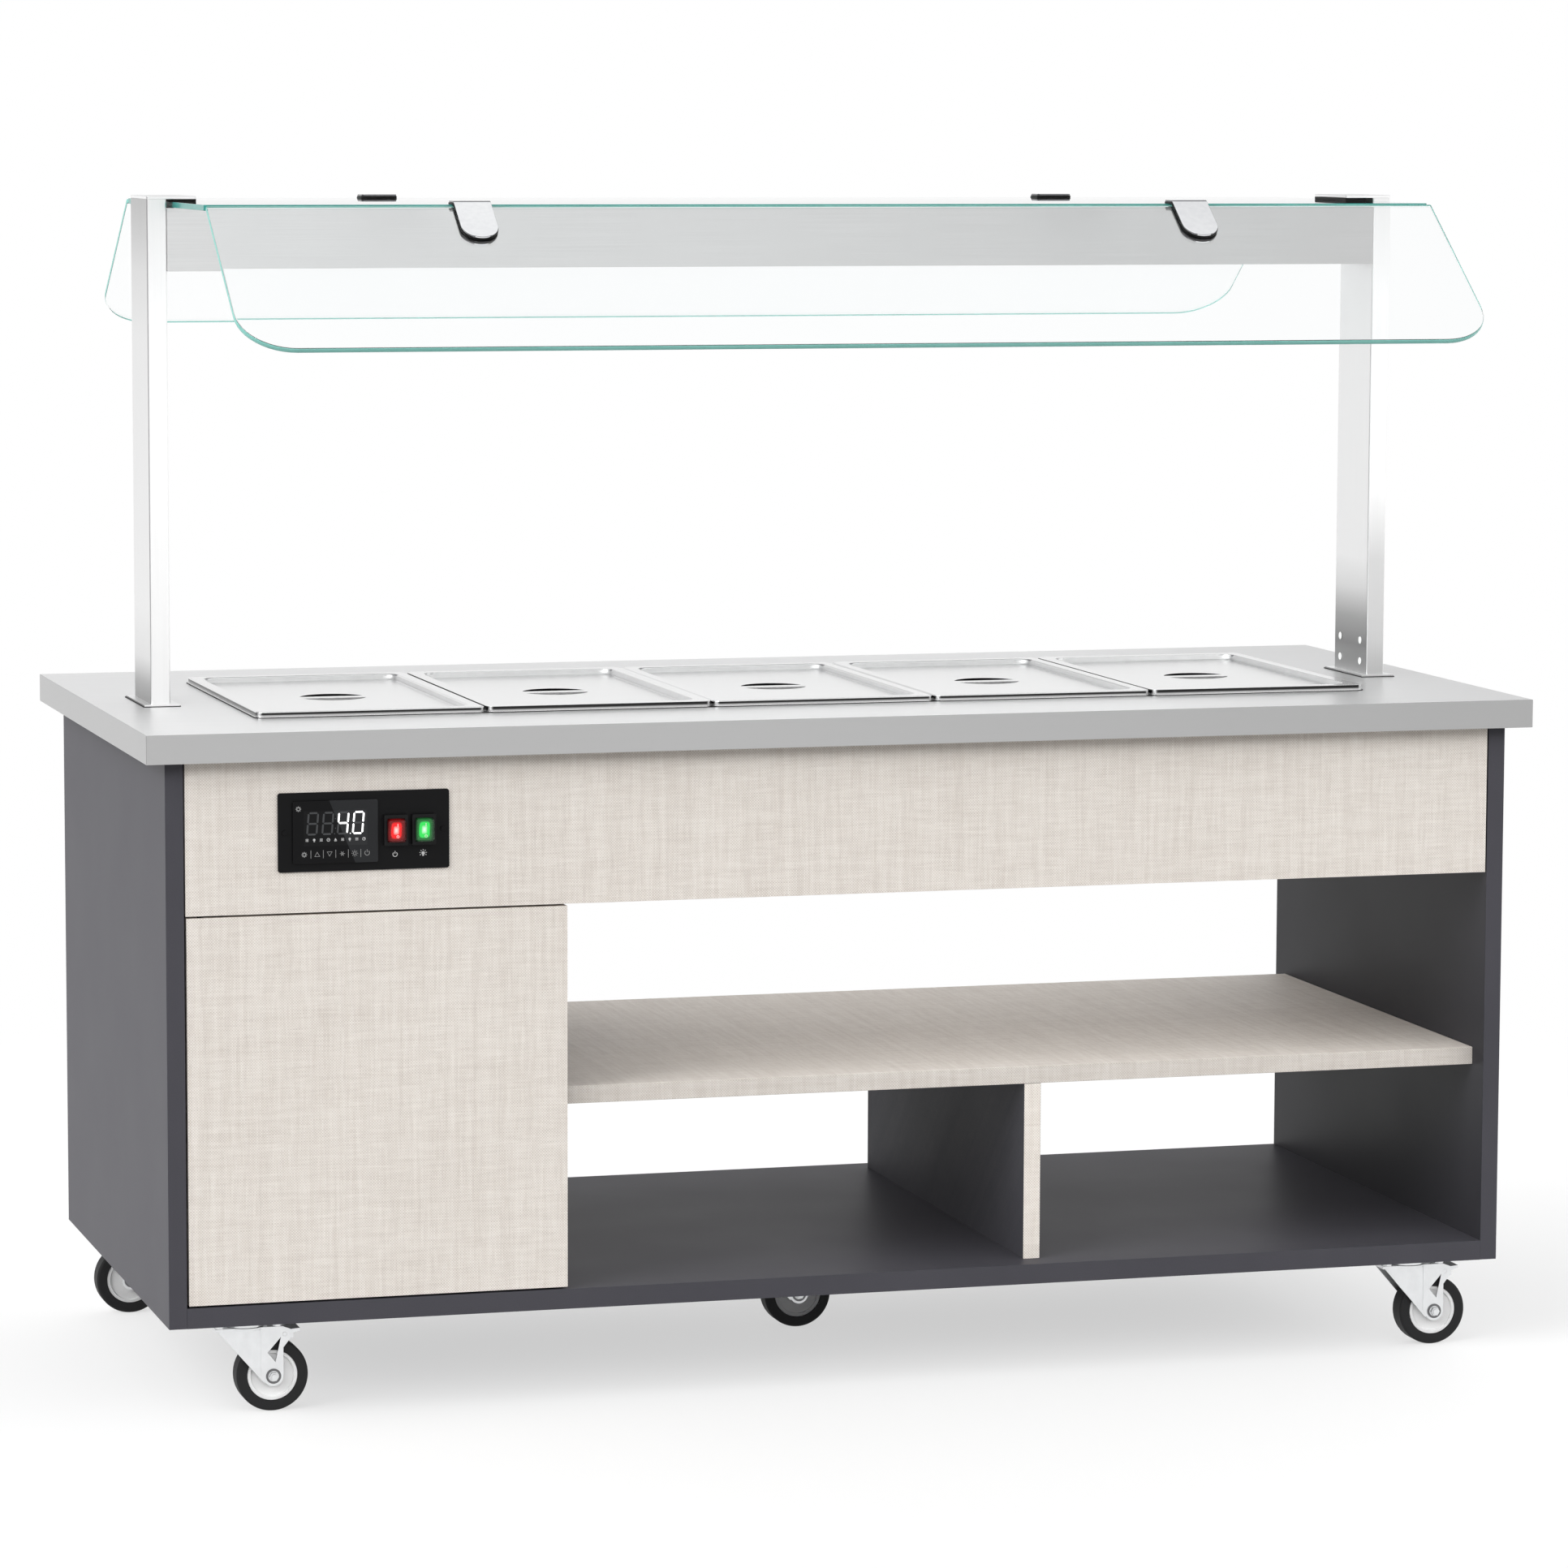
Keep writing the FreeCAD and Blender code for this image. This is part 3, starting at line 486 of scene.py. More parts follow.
def screen_material(name, deep, pale):
    # Black display glass with a paler painted sheen, a painted reflection.
    material, tree, shader = new_material(name, Roughness=0.12, Specular_IOR_Level=0.1)
    slant = vector_node(tree, "DOT_PRODUCT", object_place(tree), (1.0, 0.0, sheen_lean))["Value"]
    side = map_range(tree, slant, sheen_edge - sheen_blur, sheen_edge + sheen_blur)
    tone = ramp(tree, side, (0.0, deep), (1.0, pale))
    grain = use_group(tree, grain_group, Scale=300.0)
    uneven = map_range(tree, grain["Tone"], 0.0, 1.0, low=0.0, high=0.3)
    colour = blend_colour(tree, uneven, tone, darkened(deep, 0.8))
    tree.links.new(colour, shader.inputs["Base Color"])
    return material


def glowing_material(name, deep, bright, node_name):
    # Translucent plastic lit from inside: brightest at its centre, with a lit field that has rounded corners.
    material, tree, shader = new_material(name, Roughness=0.35, Emission_Strength=rocker_glow)
    shifted = vector_node(tree, "SUBTRACT", object_place(tree), middle_of(node_name))["Vector"]
    across = separated(tree, stretched(tree, shifted, (2 / lit_width, 0.0, 2 / lit_height)))
    powers = [math_node(tree, "POWER", math_node(tree, "ABSOLUTE", across[axis]), lit_squareness)
              for axis in ("X", "Z")]
    distance = math_node(tree, "POWER", plus(tree, *powers), 1 / lit_squareness)
    ring = darkened(deep, ring_share)
    rim = darkened(deep, rim_share)
    field_stops = ((0.06, bright), (0.3, deep), (0.46, deep))
    ring_stops = ((0.56, ring), (0.66, ring), (0.8, rim))
    colour = ramp(tree, times(tree, distance, 0.5), *field_stops, *ring_stops)
    for label in ("Base Color", "Emission Color"):
        tree.links.new(colour, shader.inputs[label])
    return material


def printed_material(name, colour, glow):
    return grained_material(name, 1500.0, darkened(colour, 0.88), colour, Roughness=0.45,
                            Emission_Strength=glow, feeds=("Base Color", "Emission Color"))


def hood_material(name, tint):
    # Clear tinted rubber hood, through which the lit rocker shows.
    return grained_material(name, 400.0, darkened(tint, 0.8), tint, Roughness=0.12, Alpha=0.42)


linen = linen_material("linen_laminate")
# The shelf's top is painted lighter and its front edges darker, and the divider's front edges lighter:
# painted light and shade
shelf_linen_painted_light = linen_material("linen_shelf_painted_light", painted_light_tones=((upwards, 1.2), (frontways, 0.88)))
banded_board = linen_material("banded_board", edge_only=True, painted_light_tones=((frontways, 1.1),))
melamine = melamine_material("anthracite_melamine", anthracite, anthracite_light)
inner_shade_melamine = melamine_material("painted_shade_board", inner_shade_dark, inner_shade_light)
bare_board = grained_material("bare_board", 260.0, board_dark, board_light, low=0.25,
                              relief=(0.4, 0.4 * mm), Roughness=0.8)

# Painted shade and reflection along the steel pieces, each as (metres, tone)
top_painted_shade = ((-1.0, 1.02), (0.55, 1.0), (1.0, 0.84))
top_edge_painted_shade = ((-1.0, 0.98), (0.0, 0.98), (1.0, 0.88))
outer_side_shade = ((0.945, 0.3), (0.975, 0.42), (1.01, 0.74), (1.08, 0.84), (1.46, 0.8), (1.55, 0.7),
              (1.60, 0.56), (1.656, 0.44))
inner_side_shade = ((0.945, 0.52), (0.99, 0.22), (1.03, 0.34), (1.075, 0.68), (1.12, 0.82), (1.656, 0.84))
left_front_shade = ((0.945, 0.9), (1.1, 0.95), (1.25, 1.0), (1.5, 1.0), (1.656, 0.86))
right_front_shade = ((0.945, 0.52), (1.0, 0.64), (1.12, 0.7), (1.22, 0.98), (1.5, 1.0), (1.656, 0.86))
housing_painted_shade = ((-0.9, 1.0), (0.0, 0.88), (0.9, 0.74))
skirt_front_shade = ((0.9465, 0.85), (0.9485, 0.5), (0.9495, 0.05), (0.9535, 0.03))
skirt_side_shade = ((0.9465, 0.85), (0.9485, 0.45), (0.950, 0.12), (0.9535, 0.1))

# The countertop's sides are painted darker, and its top and front darker towards the right: painted shade and
# reflection
level_steel = steel_material("satin_steel_level", steel_pale, (6.0, 700.0, 700.0), edge=steel_side_shade,
                             painted_fades=(("X", upwards, top_painted_shade), ("X", frontways, top_edge_painted_shade)))
# Painted shade and reflection up the posts' sides and fronts, different on the left and right post
post_shades = (("left", outer_side_shade, left_front_shade), ("right", inner_side_shade, right_front_shade))
post_steels = {
    side: steel_material("satin_steel_%s_post" % side, post_pale, (700.0, 700.0, 6.0), dull=0.96,
                         painted_fades=(("Z", sideways, side_shade), ("Z", frontways, front_shade)))
    for side, side_shade, front_shade in post_shades}
cap_steel = steel_material("satin_steel_caps", cap_pale, (6.0, 600.0, 600.0))
# The light housing's front is painted darker towards the right: painted reflection
housing_steel = steel_material("satin_steel_housing", housing_pale, (5.0, 600.0, 600.0),
                               painted_fades=(("X", frontways, housing_painted_shade),))
lid_steel = steel_material("lid_steel", lid_pale, (300.0, 8.0, 300.0), rough=(0.18, 0.3))
# The lid's turned-down edge is painted dark towards its top: painted shade and reflection
skirt_shade_steel = steel_material("lid_skirt_steel", skirt_pale, (8.0, 8.0, 300.0), rough=(0.2, 0.34),
                             painted_fades=(("Z", frontways, skirt_front_shade), ("Z", sideways, skirt_side_shade)))
slope_steel = steel_material("lid_slope_steel", slope_pale, (60.0, 60.0, 60.0), rough=(0.4, 0.5))
# The far wall of each lid's grip recess is painted near black: painted shade
recess_shade_steel = steel_material("recess_shade_steel", recess_shade_black, (60.0, 60.0, 300.0), rough=(0.25, 0.4))
well_steel = steel_material("well_steel", well_grey, (6.0, 300.0, 300.0))
heater_steel = steel_material("heater_steel", heater_brown, (40.0, 40.0, 40.0), rough=(0.35, 0.6))
zinc = steel_material("bright_zinc", zinc_pale, (90.0, 90.0, 60.0), rough=(0.22, 0.4))
washer_shade_steel = steel_material("washer_shade_steel", washer_shade_grey, (200.0, 200.0, 200.0), rough=(0.3, 0.5))
chrome = grained_material("polished_chrome", 120.0, chrome_dark, chrome_light, rough=(0.03, 0.1),
                          Metallic=1.0)
# The chrome leaves' steep faces are painted dark grey: painted shade and reflection
chrome_edge_shade = steel_material("chrome_edge_shade", leaf_edge_shade, (60.0, 60.0, 60.0), rough=(0.15, 0.3))
clear_glass = glass_material()
pane_edge = glass_edge_material("pane_edge", edge_green, edge_green_light)
top_edge = glass_edge_material("top_glass_edge", edge_deep, edge_deep_light)
tyre_rubber = moulded_material("tyre_rubber", rubber_black, rough=0.62, scale=500.0, depth=0.3 * mm,
                               gloss=0.25)
pad_rubber = moulded_material("pad_rubber", pad_black, rough=0.5, scale=600.0, depth=0.2 * mm, gloss=0.15)
hub_plastic = moulded_material("hub_plastic", hub_grey, rough=0.4, scale=1500.0, depth=0.03 * mm)
plate_black = moulded_material("plate_black", panel_black, rough=0.36, scale=1200.0, gloss=0.1)
frame_black = moulded_material("frame_black", panel_black, rough=0.3, scale=900.0, gloss=0.16)
plug_white = moulded_material("plug_white", plug_pale, rough=0.4, scale=900.0, depth=0.05 * mm)
lamp_opal = moulded_material("lamp_opal", lamp_pale, rough=0.35, scale=300.0, depth=0.05 * mm)
# On the plate's printed signs and the hoods' marks, which give no light of their own, the glow is painted
# light
white_print = printed_material("white_print", print_white, glow=0.1)
key_print = printed_material("key_print", print_grey, glow=0.1)
lit_print = printed_material("lit_print", print_lit, glow=0.9)
dim_print = printed_material("dim_print", print_dim, glow=0.0)
mark_pale = printed_material("mark_pale", mark_tone, glow=0.2)
screen_black = screen_material("screen_black", screen_deep, screen_painted_sheen)
window_black = screen_material("window_black", window_deep, window_painted_sheen)
red_hood = hood_material("hood_red", hood_red_tint)
green_hood = hood_material("hood_green", hood_green_tint)
red_glow = glowing_material("rocker_red", red_deep, red_bright, "power_rocker")
green_glow = glowing_material("rocker_green", green_deep, green_bright, "light_rocker")


# Mesh helpers
def to_mesh(name, bm):
    mesh = bpy.data.meshes.new(name)
    bm.to_mesh(mesh)
    bm.free()
    return mesh


def add_object(name, data):
    made = bpy.data.objects.new(name, data)
    bpy.context.scene.collection.objects.link(made)
    return made


def finish_piece(name, bm, material, body="trolley"):
    mesh = to_mesh(name, bm)
    mesh.materials.append(material)
    mesh.shade_smooth()
    mesh.set_sharp_from_angle(angle=math.radians(shade_angle))
    piece = add_object(name, mesh)
    even = piece.modifiers.new("even_normals", "WEIGHTED_NORMAL")
    even.keep_sharp = True
    even.weight = 100
    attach(piece, body)
    return piece


def sharp_edges(bm, angle):
    return [e for e in bm.edges if len(e.link_faces) == 2 and e.calc_face_angle(0.0) > math.radians(angle)]


def round_edges(bm, edges, width, segments):
    bmesh.ops.bevel(bm, geom=edges, offset=width, offset_type="OFFSET", segments=segments, profile=0.5,
                    affect="EDGES", material=-1, clamp_overlap=True)


def round_corners(bm, corners, radius, segments):
    bmesh.ops.bevel(bm, geom=corners, offset=radius, offset_type="OFFSET", segments=segments, profile=0.5,
                    affect="VERTICES", material=-1)


def softened(node_name, material, width, segments=2, rounds=()):
    # A copy of a CAD node with its sharp edges rounded, which stands for the node.
    # Each of rounds is a test for edges that get a rounding of their own first, with its width.
    bm = bmesh.new()
    bm.from_mesh(nodes[node_name].data)
    bmesh.ops.remove_doubles(bm, verts=bm.verts, dist=weld)
    bmesh.ops.dissolve_limit(bm, angle_limit=math.radians(merge_angle), verts=bm.verts, edges=bm.edges)
    for test, wide in rounds:
        round_edges(bm, [e for e in sharp_edges(bm, sharp_angle) if test(e)], wide, segments=4)
    round_edges(bm, sharp_edges(bm, sharp_angle), width, segments)
    bmesh.ops.remove_doubles(bm, verts=bm.verts, dist=weld)
    bmesh.ops.dissolve_degenerate(bm, dist=weld, edges=bm.edges)
    bmesh.ops.recalc_face_normals(bm, faces=bm.faces)
    piece = finish_piece(node_name + "_finished", bm, material, body_of(node_name))
    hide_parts(node_name)
    return piece


def second_finish(piece, material, test):
    # Gives the faces that pass the test another material.
    index = len(piece.data.materials)
    piece.data.materials.append(material)
    for polygon in piece.data.polygons:
        if test(polygon):
            polygon.material_index = index


def dress(material, *names):
    for name in names:
        mesh = nodes[name].data
        mesh.materials.clear()
        mesh.materials.append(material)


# Carcass and top
for board in ("bottom_board", "cabinet_wall", "cabinet_back"):
    softened(board, melamine, board_round)
# The side panels' inner faces get a darker melamine, which is painted shade
for board, inward in (("left_side_panel", 1), ("right_side_panel", -1)):
    panel = softened(board, melamine, board_round)
    second_finish(panel, inner_shade_melamine, lambda polygon: inward * polygon.normal.x > flat)
for board in ("front_apron", "rear_apron", "door_panel"):
    softened(board, linen, board_round)
softened("middle_shelf", shelf_linen_painted_light, board_round)
softened("lower_divider", banded_board, board_round)
dress(bare_board, "ceiling_board", "core_board")
softened("countertop", level_steel, counter_round, segments=3)
dress(well_steel, "well_tank")
dress(heater_steel, "heating_elements")


def join(bm, other):
    # Adds another bmesh to this one and frees it.
    part = to_mesh("part", other)
    bm.from_mesh(part)
    bpy.data.meshes.remove(part)


def rounded_face(bm, centre, width, depth, radius):
    # A flat rectangle with rounded corners in the XY plane.
    grown = Matrix.Translation(centre) @ Matrix.Diagonal((width, depth, 1, 1))
    made = bmesh.ops.create_grid(bm, x_segments=1, y_segments=1, size=0.5, matrix=grown)
    round_corners(bm, made["verts"], radius, segments=6)


def add_block(bm, low, high, radius, segments=2, place=Matrix()):
    # Adds a box with rounded edges.
    block = bmesh.new()
    size = Vector(high) - Vector(low)
    grown = Matrix.Translation((Vector(low) + Vector(high)) / 2) @ Matrix.Diagonal((*size, 1))
    bmesh.ops.create_cube(block, size=1.0, matrix=grown)
    round_edges(block, block.edges[:], radius, segments)
    block.transform(place)
    join(bm, block)


def flat_ring(bm, place, outer, inner, sides):
    # Adds a flat ring in the XY plane of a place and gives its faces.
    loops = []
    for radius in (outer, inner):
        made = bmesh.ops.create_circle(bm, cap_ends=False, segments=sides, radius=radius, matrix=place)
        loops += {e for vert in made["verts"] for e in vert.link_edges}
    return bmesh.ops.bridge_loops(bm, edges=loops)["faces"]


def thicken(bm, faces, direction):
    # Pulls flat faces into a closed solid along a direction.
    made = bmesh.ops.extrude_face_region(bm, geom=faces, use_keep_orig=True)
    moved = [v for v in made["geom"] if isinstance(v, bmesh.types.BMVert)]
    bmesh.ops.translate(bm, verts=moved, vec=direction)
    bmesh.ops.recalc_face_normals(bm, faces=bm.faces)


lid_sink = 8 * mm
lid_rim_round = 2.2 * mm
lid_foot_round = 3.5 * mm
grip_radius = 47 * mm
recess_reach = 2 * mm
on_level = 0.05 * mm


def pressed_lid(number):
    # A lid with rounded rim and panel edges, a turned-down edge with painted shade and a far recess wall
    # painted dark as shade.
    name = "lid_%d" % number
    high = box_of(name)[1]
    middle = middle_of(name).xy

    def out_from_middle(point):
        return (point.xy - middle).length

    def beyond_grip(point):
        return out_from_middle(point) > 2 * grip_radius

    def on_rim(edge):
        return all(abs(v.co.z - high.z) < on_level for v in edge.verts)

    def at_panel_foot(edge):
        return all(abs(v.co.z - high.z + lid_sink) < on_level and beyond_grip(v.co) for v in edge.verts)

    def on_skirt(polygon):
        return abs(polygon.normal.z) < steep and beyond_grip(polygon.center)

    def on_shaded_recess_wall(polygon):
        near = abs(out_from_middle(polygon.center) - grip_radius) < recess_reach
        return near and abs(polygon.normal.z) < steep and polygon.center.y > middle.y

    def on_slope(polygon):
        sunk = polygon.center.z < high.z - lid_rim_round
        return sunk and beyond_grip(polygon.center) and steep < abs(polygon.normal.z) < flat

    rounds = ((on_rim, lid_rim_round), (at_panel_foot, lid_foot_round))
    lid = softened(name, lid_steel, lid_round, rounds=rounds)
    second_finish(lid, skirt_shade_steel, on_skirt)
    # The far half of the grip recess wall gets painted shade
    second_finish(lid, recess_shade_steel, on_shaded_recess_wall)
    second_finish(lid, slope_steel, on_slope)


for number in numbers:
    softened("pan_%d" % number, lid_steel, pan_round)
    pressed_lid(number)

seal_proud = 1.6 * mm
seal_lap = 0.3 * mm
seal_height = 0.9 * mm
rim_corner = 12 * mm
flange_corner = 2 * mm
notch_width = 16 * mm
notch_depth = 11 * mm
notch_height = 1.2 * mm
notch_round = 0.3 * mm


def seal_ring(low, high, level, corner):
    # A thin dark seal lying on the top round a piece that stands on it.
    bm = bmesh.new()
    centre = ((low.x + high.x) / 2, (low.y + high.y) / 2, level)
    width = high.x - low.x + 2 * seal_proud
    depth = high.y - low.y + 2 * seal_proud
    rounded_face(bm, centre, width, depth, corner)
    ring = bmesh.ops.inset_region(bm, faces=bm.faces[:], thickness=seal_proud + seal_lap, use_boundary=True,
                                  use_even_offset=True)["faces"]
    bmesh.ops.delete(bm, geom=[f for f in bm.faces if f not in ring], context="FACES")
    thicken(bm, bm.faces[:], (0, 0, seal_height))
    return bm


def well_seal_and_shade_line():
    # The seal shows as a line along the row of pans, with pads in the notches between their corners. Its dark
    # line is partly a real seal and partly painted shade under the pans' rims.
    boxes = [box_of("pan_%d" % number) for number in numbers]
    low, high = boxes[0][0], boxes[-1][1]
    level = box_of("countertop")[1].z
    bm = seal_ring(low, high, level, rim_corner)
    for first, second in zip(boxes, boxes[1:]):
        x = (first[1].x + second[0].x) / 2
        for end in (low.y + seal_lap, high.y - seal_lap - notch_depth):
            far = (x + notch_width / 2, end + notch_depth, level + notch_height)
            add_block(bm, (x - notch_width / 2, end, level), far, notch_round)
    finish_piece("well_seal_and_shade_line", bm, pad_rubber)


def post_seal(side):
    low, high = box_of(side + "_post")
    finish_piece(side + "_post_seal", seal_ring(low, high, low.z, flange_corner), pad_rubber)


well_seal_and_shade_line()
post_seal("left")
post_seal("right")

# Guard
for side in ("left", "right"):
    softened(side + "_post", post_steels[side], post_round, segments=3)
softened("post_caps", cap_steel, cap_round)
softened("light_housing", housing_steel, housing_round)
dress(lamp_opal, "led_batten")
pane_slope = Vector((0, math.sin(pane_tilt), math.cos(pane_tilt)))


def glass_sheet(name, facing, arris, edge, face):
    # Clear sheet with ground edges; faces that turn away from its facing show the edge colour.
    sheet = softened(name, clear_glass, arris)
    second_finish(sheet, edge, lambda polygon: abs(polygon.normal.dot(facing)) < face)


glass_sheet("top_glass", Vector(upwards), sheet_arris, top_edge, face=0.95)
glass_sheet("front_glass", pane_slope.reflect(Vector(frontways)), pane_arris, pane_edge, face=0.4)
glass_sheet("rear_glass", pane_slope, pane_arris, pane_edge, face=0.4)

# Controls and casters
softened("control_plate", plate_black, plate_round)
softened("temperature_controller", screen_black, moulding_round, segments=3)
softened("rocker_frames", frame_black, moulding_round, segments=3)
softened("power_rocker", red_glow, moulding_round, segments=3)
softened("light_rocker", green_glow, moulding_round, segments=3)
dress(plate_black, "power_inlet", "door_pivots")
dress(zinc, "caster_plates")
screw_level = box_of("control_plate")[0].z
screws = softened("fasteners", zinc, screw_round)
second_finish(screws, plate_black, lambda polygon: polygon.center.z > screw_level)
for name in casters:
    softened("fork_" + name, zinc, fork_round)
    softened("hub_" + name, hub_plastic, moulding_round)
    softened("tyre_" + name, tyre_rubber, tyre_round)
for name in casters[:2]:
    softened("brake_pedal_" + name, zinc, pedal_round)


# Flat marks on the control panel, in millimetres: u runs to the right and v up, from a centre on a face to -Y
mark_height = 0.15 * mm


class Marks:
    def __init__(self, x, y, z):
        self.bm = bmesh.new()
        self.place = Matrix.Translation((x, y, z)) @ Matrix.Rotation(math.radians(90), 4, "X")

    def at(self, u, v, turn=0.0):
        turned = Matrix.Rotation(math.radians(turn), 4, "Z")
        return self.place @ Matrix.Translation((u * mm, v * mm, 0)) @ turned

    def bar(self, u, v, length, width, turn=0.0):
        grown = self.at(u, v, turn) @ Matrix.Diagonal((length * mm, width * mm, 1, 1))
        bmesh.ops.create_grid(self.bm, x_segments=1, y_segments=1, size=0.5, matrix=grown)

    def disc(self, u, v, radius, sides=24):
        bmesh.ops.create_circle(self.bm, cap_ends=True, segments=sides, radius=radius * mm,
                                matrix=self.at(u, v))

    def ring(self, u, v, outer, inner, sides=24, turn=0.0):
        flat_ring(self.bm, self.at(u, v, turn), outer * mm, inner * mm, sides)

    def arc(self, u, v, outer, inner, start, sweep):
        # Part of a ring, from an angle in degrees anticlockwise from the right.
        place = self.at(u, v, start)
        ends = [self.bm.verts.new(place @ Vector((radius * mm, 0, 0))) for radius in (inner, outer)]
        edge = self.bm.edges.new(ends)
        bmesh.ops.spin(self.bm, geom=ends + [edge], cent=place.translation, axis=(0, -1, 0),
                       angle=math.radians(sweep), steps=20)

    def ray(self, u, v, reach, angle, length, width):
        # A bar that points outwards, at a distance from a centre.
        lean = math.radians(angle)
        self.bar(u + reach * math.cos(lean), v + reach * math.sin(lean), length, width, angle)

    def segment(self, u, v, length, width, turn):
        # One bar of a digit, with pointed ends.
        place = self.at(u, v, turn)
        half, side = length / 2, width / 2
        outline = ((-half, 0), (side - half, -side), (half - side, -side), (half, 0), (half - side, side),
                   (side - half, side))
        self.bm.faces.new([self.bm.verts.new(place @ Vector((a * mm, b * mm, 0))) for a, b in outline])

    def finish(self, name, material):
        thicken(self.bm, self.bm.faces[:], (0, -mark_height, 0))
        finish_piece(name, self.bm, material)


# Digits, signs and keys of the display
digit_width = 13.0
digit_height = 29.0
digit_stroke = 2.5
digit_pitch = 21.0
digits_v = 11.8
digit_lean = 5.0
digit_gap = 1.3
lit_bars = {"8": "abcdefg", "4": "bcfg", "0": "abcdef"}
thin_stroke = 0.6
window_v = 5.3
window_width = 88.0
window_height = 48.0
colon_rises = (5.0, 18.0)
colon_radius = 0.8
dim_point_u = -1.4
lit_point_u = 20.4
point_v = -2.6
point_radius = 0.7
row_first = -39.3
row_pitch = 9.8
row_v = -10.6
row_count = 9
keys_v = -30.0
key_places = (-43.2, -25.4, -8.3, 9.2, 26.4, 43.5)
corner_gear = (-51.0, 32.3)
gear_radius = 2.8
arrow_radius = 4.4
arrow_stroke = 1.0
arrow_shift = 1.0
key_bars = (-34.1, -17.0, 0.2, 17.6, 34.8)
key_bar_height = 11.0


def digit(marks, u, bars):
    # Seven bars round two squares, each leaning a little.
    half, quarter = digit_width / 2, digit_height / 4
    lean = math.tan(math.radians(digit_lean))
    level = {"a": 2 * quarter, "g": 0.0, "d": -2 * quarter}
    upright = {"f": (-half, quarter), "b": (half, quarter), "e": (-half, -quarter), "c": (half, -quarter)}
    for bar in bars:
        if bar in level:
            v = level[bar]
            marks.segment(u + v * lean, digits_v + v, digit_width - digit_gap, digit_stroke, 0)
        else:
            side, v = upright[bar]
            height = 2 * quarter - digit_gap
            marks.segment(u + side + v * lean, digits_v + v, height, digit_stroke, 90 - digit_lean)


def sun_mark(marks, u, v, radius, ray, count=8):
    marks.ring(u, v, radius, radius - thin_stroke)
    for i in range(count):
        marks.ray(u, v, radius + ray, 360 * i / count, ray, thin_stroke)


def gear_mark(marks, u, v, radius, teeth=8):
    marks.ring(u, v, radius, 0.55 * radius)
    for i in range(teeth):
        marks.ray(u, v, 1.1 * radius, 360 * i / teeth, 0.5 * radius, 0.4 * radius)


def power_mark(marks, u, v, radius, stroke):
    marks.arc(u, v, radius, radius - stroke, start=125, sweep=290)
    marks.bar(u, v + 0.75 * radius, 1.1 * radius, stroke, 90)


def flake_mark(marks, u, v, radius):
    for turn in (0, 60, 120):
        marks.bar(u, v, 2 * radius, thin_stroke, turn)
    marks.ring(u, v, 0.6 * radius, 0.6 * radius - 0.5, sides=6)


def status_marks(marks, v):
    # A row of small signs under the digits.
    for i in range(row_count):
        u = row_first + i * row_pitch
        kind = i % 5
        if kind == 0:
            marks.ring(u, v, 2.6, 1.9, sides=4, turn=45)
            marks.disc(u, v, 0.9)
        elif kind == 1:
            marks.disc(u, v + 0.4, 1.7)
            marks.bar(u, v - 2.0, 2.2, 0.8)
        elif kind == 2:
            for row in (-1.4, 0.0, 1.4):
                marks.bar(u, v + row, 4.0, 0.7)
        elif kind == 3:
            marks.ring(u, v, 2.3, 1.6)
            marks.bar(u + 0.4, v + 0.4, 2.2, thin_stroke, 45)
        else:
            marks.disc(u, v, 2.2, sides=3)
            marks.bar(u, v - 2.0, 3.4, thin_stroke)


def controller_display():
    face = box_of("temperature_controller")[0].y
    x, _, z = middle_of("temperature_controller")
    window = Marks(x, face, z)
    window.bar(0.0, window_v, window_width, window_height)
    window.finish("display_window", window_black)
    lit, dim, row = (Marks(x, face - mark_height, z) for i in range(3))
    columns = [digit_pitch * (i - 1.5) for i in range(4)]
    for u, shown in zip(columns, ("", "", "4", "0")):
        bars = lit_bars.get(shown, "")
        if bars:
            digit(lit, u, bars)
        digit(dim, u, [bar for bar in lit_bars["8"] if bar not in bars])
    for v in colon_rises:
        dim.disc(0.0, v, colon_radius)
    dim.disc(dim_point_u, point_v, colon_radius)
    lit.disc(lit_point_u, point_v, point_radius)
    lit.finish("display_lit", lit_print)
    status_marks(row, row_v)
    row.finish("display_row", white_print)
    dim.finish("display_dim", dim_print)
    keys = Marks(x, face, z)
    gear, up, down, flake, sun, power = key_places
    gear_mark(keys, *corner_gear, gear_radius)
    gear_mark(keys, gear, keys_v, gear_radius)
    keys.ring(up, keys_v - arrow_shift, arrow_radius, arrow_radius - arrow_stroke, sides=3)
    keys.ring(down, keys_v + arrow_shift, arrow_radius, arrow_radius - arrow_stroke, sides=3, turn=180)
    flake_mark(keys, flake, keys_v, radius=3.4)
    sun_mark(keys, sun, keys_v, radius=2.2, ray=1.5)
    power_mark(keys, power, keys_v, radius=3.6, stroke=0.7)
    for u in key_bars:
        keys.bar(u, keys_v, key_bar_height, thin_stroke, 90)
    keys.finish("display_keys", key_print)


hood_width = 25.5 * mm
hood_height = 32.0 * mm
hood_depth = 11.0 * mm
hood_round = 5.0 * mm
hood_seat = 2.0 * mm
on_mark_v = 8.0
off_mark_v = -7.6
sign_drop = 33.7
bulb_radius = 2.3
bulb_rise = 0.6
bulb_rays = 7
ray_reach = 4.4


def switch_details(name, tinted):
    # A clear tinted hood over the rocker and the marks on it.
    face = box_of("rocker_frames")[0].y
    x, _, z = middle_of(name)
    bm = bmesh.new()
    add_block(bm, (x - hood_width / 2, face - hood_depth, z - hood_height / 2),
              (x + hood_width / 2, face + hood_seat, z + hood_height / 2), hood_round, segments=5)
    finish_piece(name + "_hood", bm, tinted)
    marks = Marks(x, face - hood_depth, z)
    marks.bar(0.0, on_mark_v, length=4.4, width=0.9, turn=90)
    marks.ring(0.0, off_mark_v, outer=1.9, inner=1.3)
    marks.finish(name + "_marks", mark_pale)


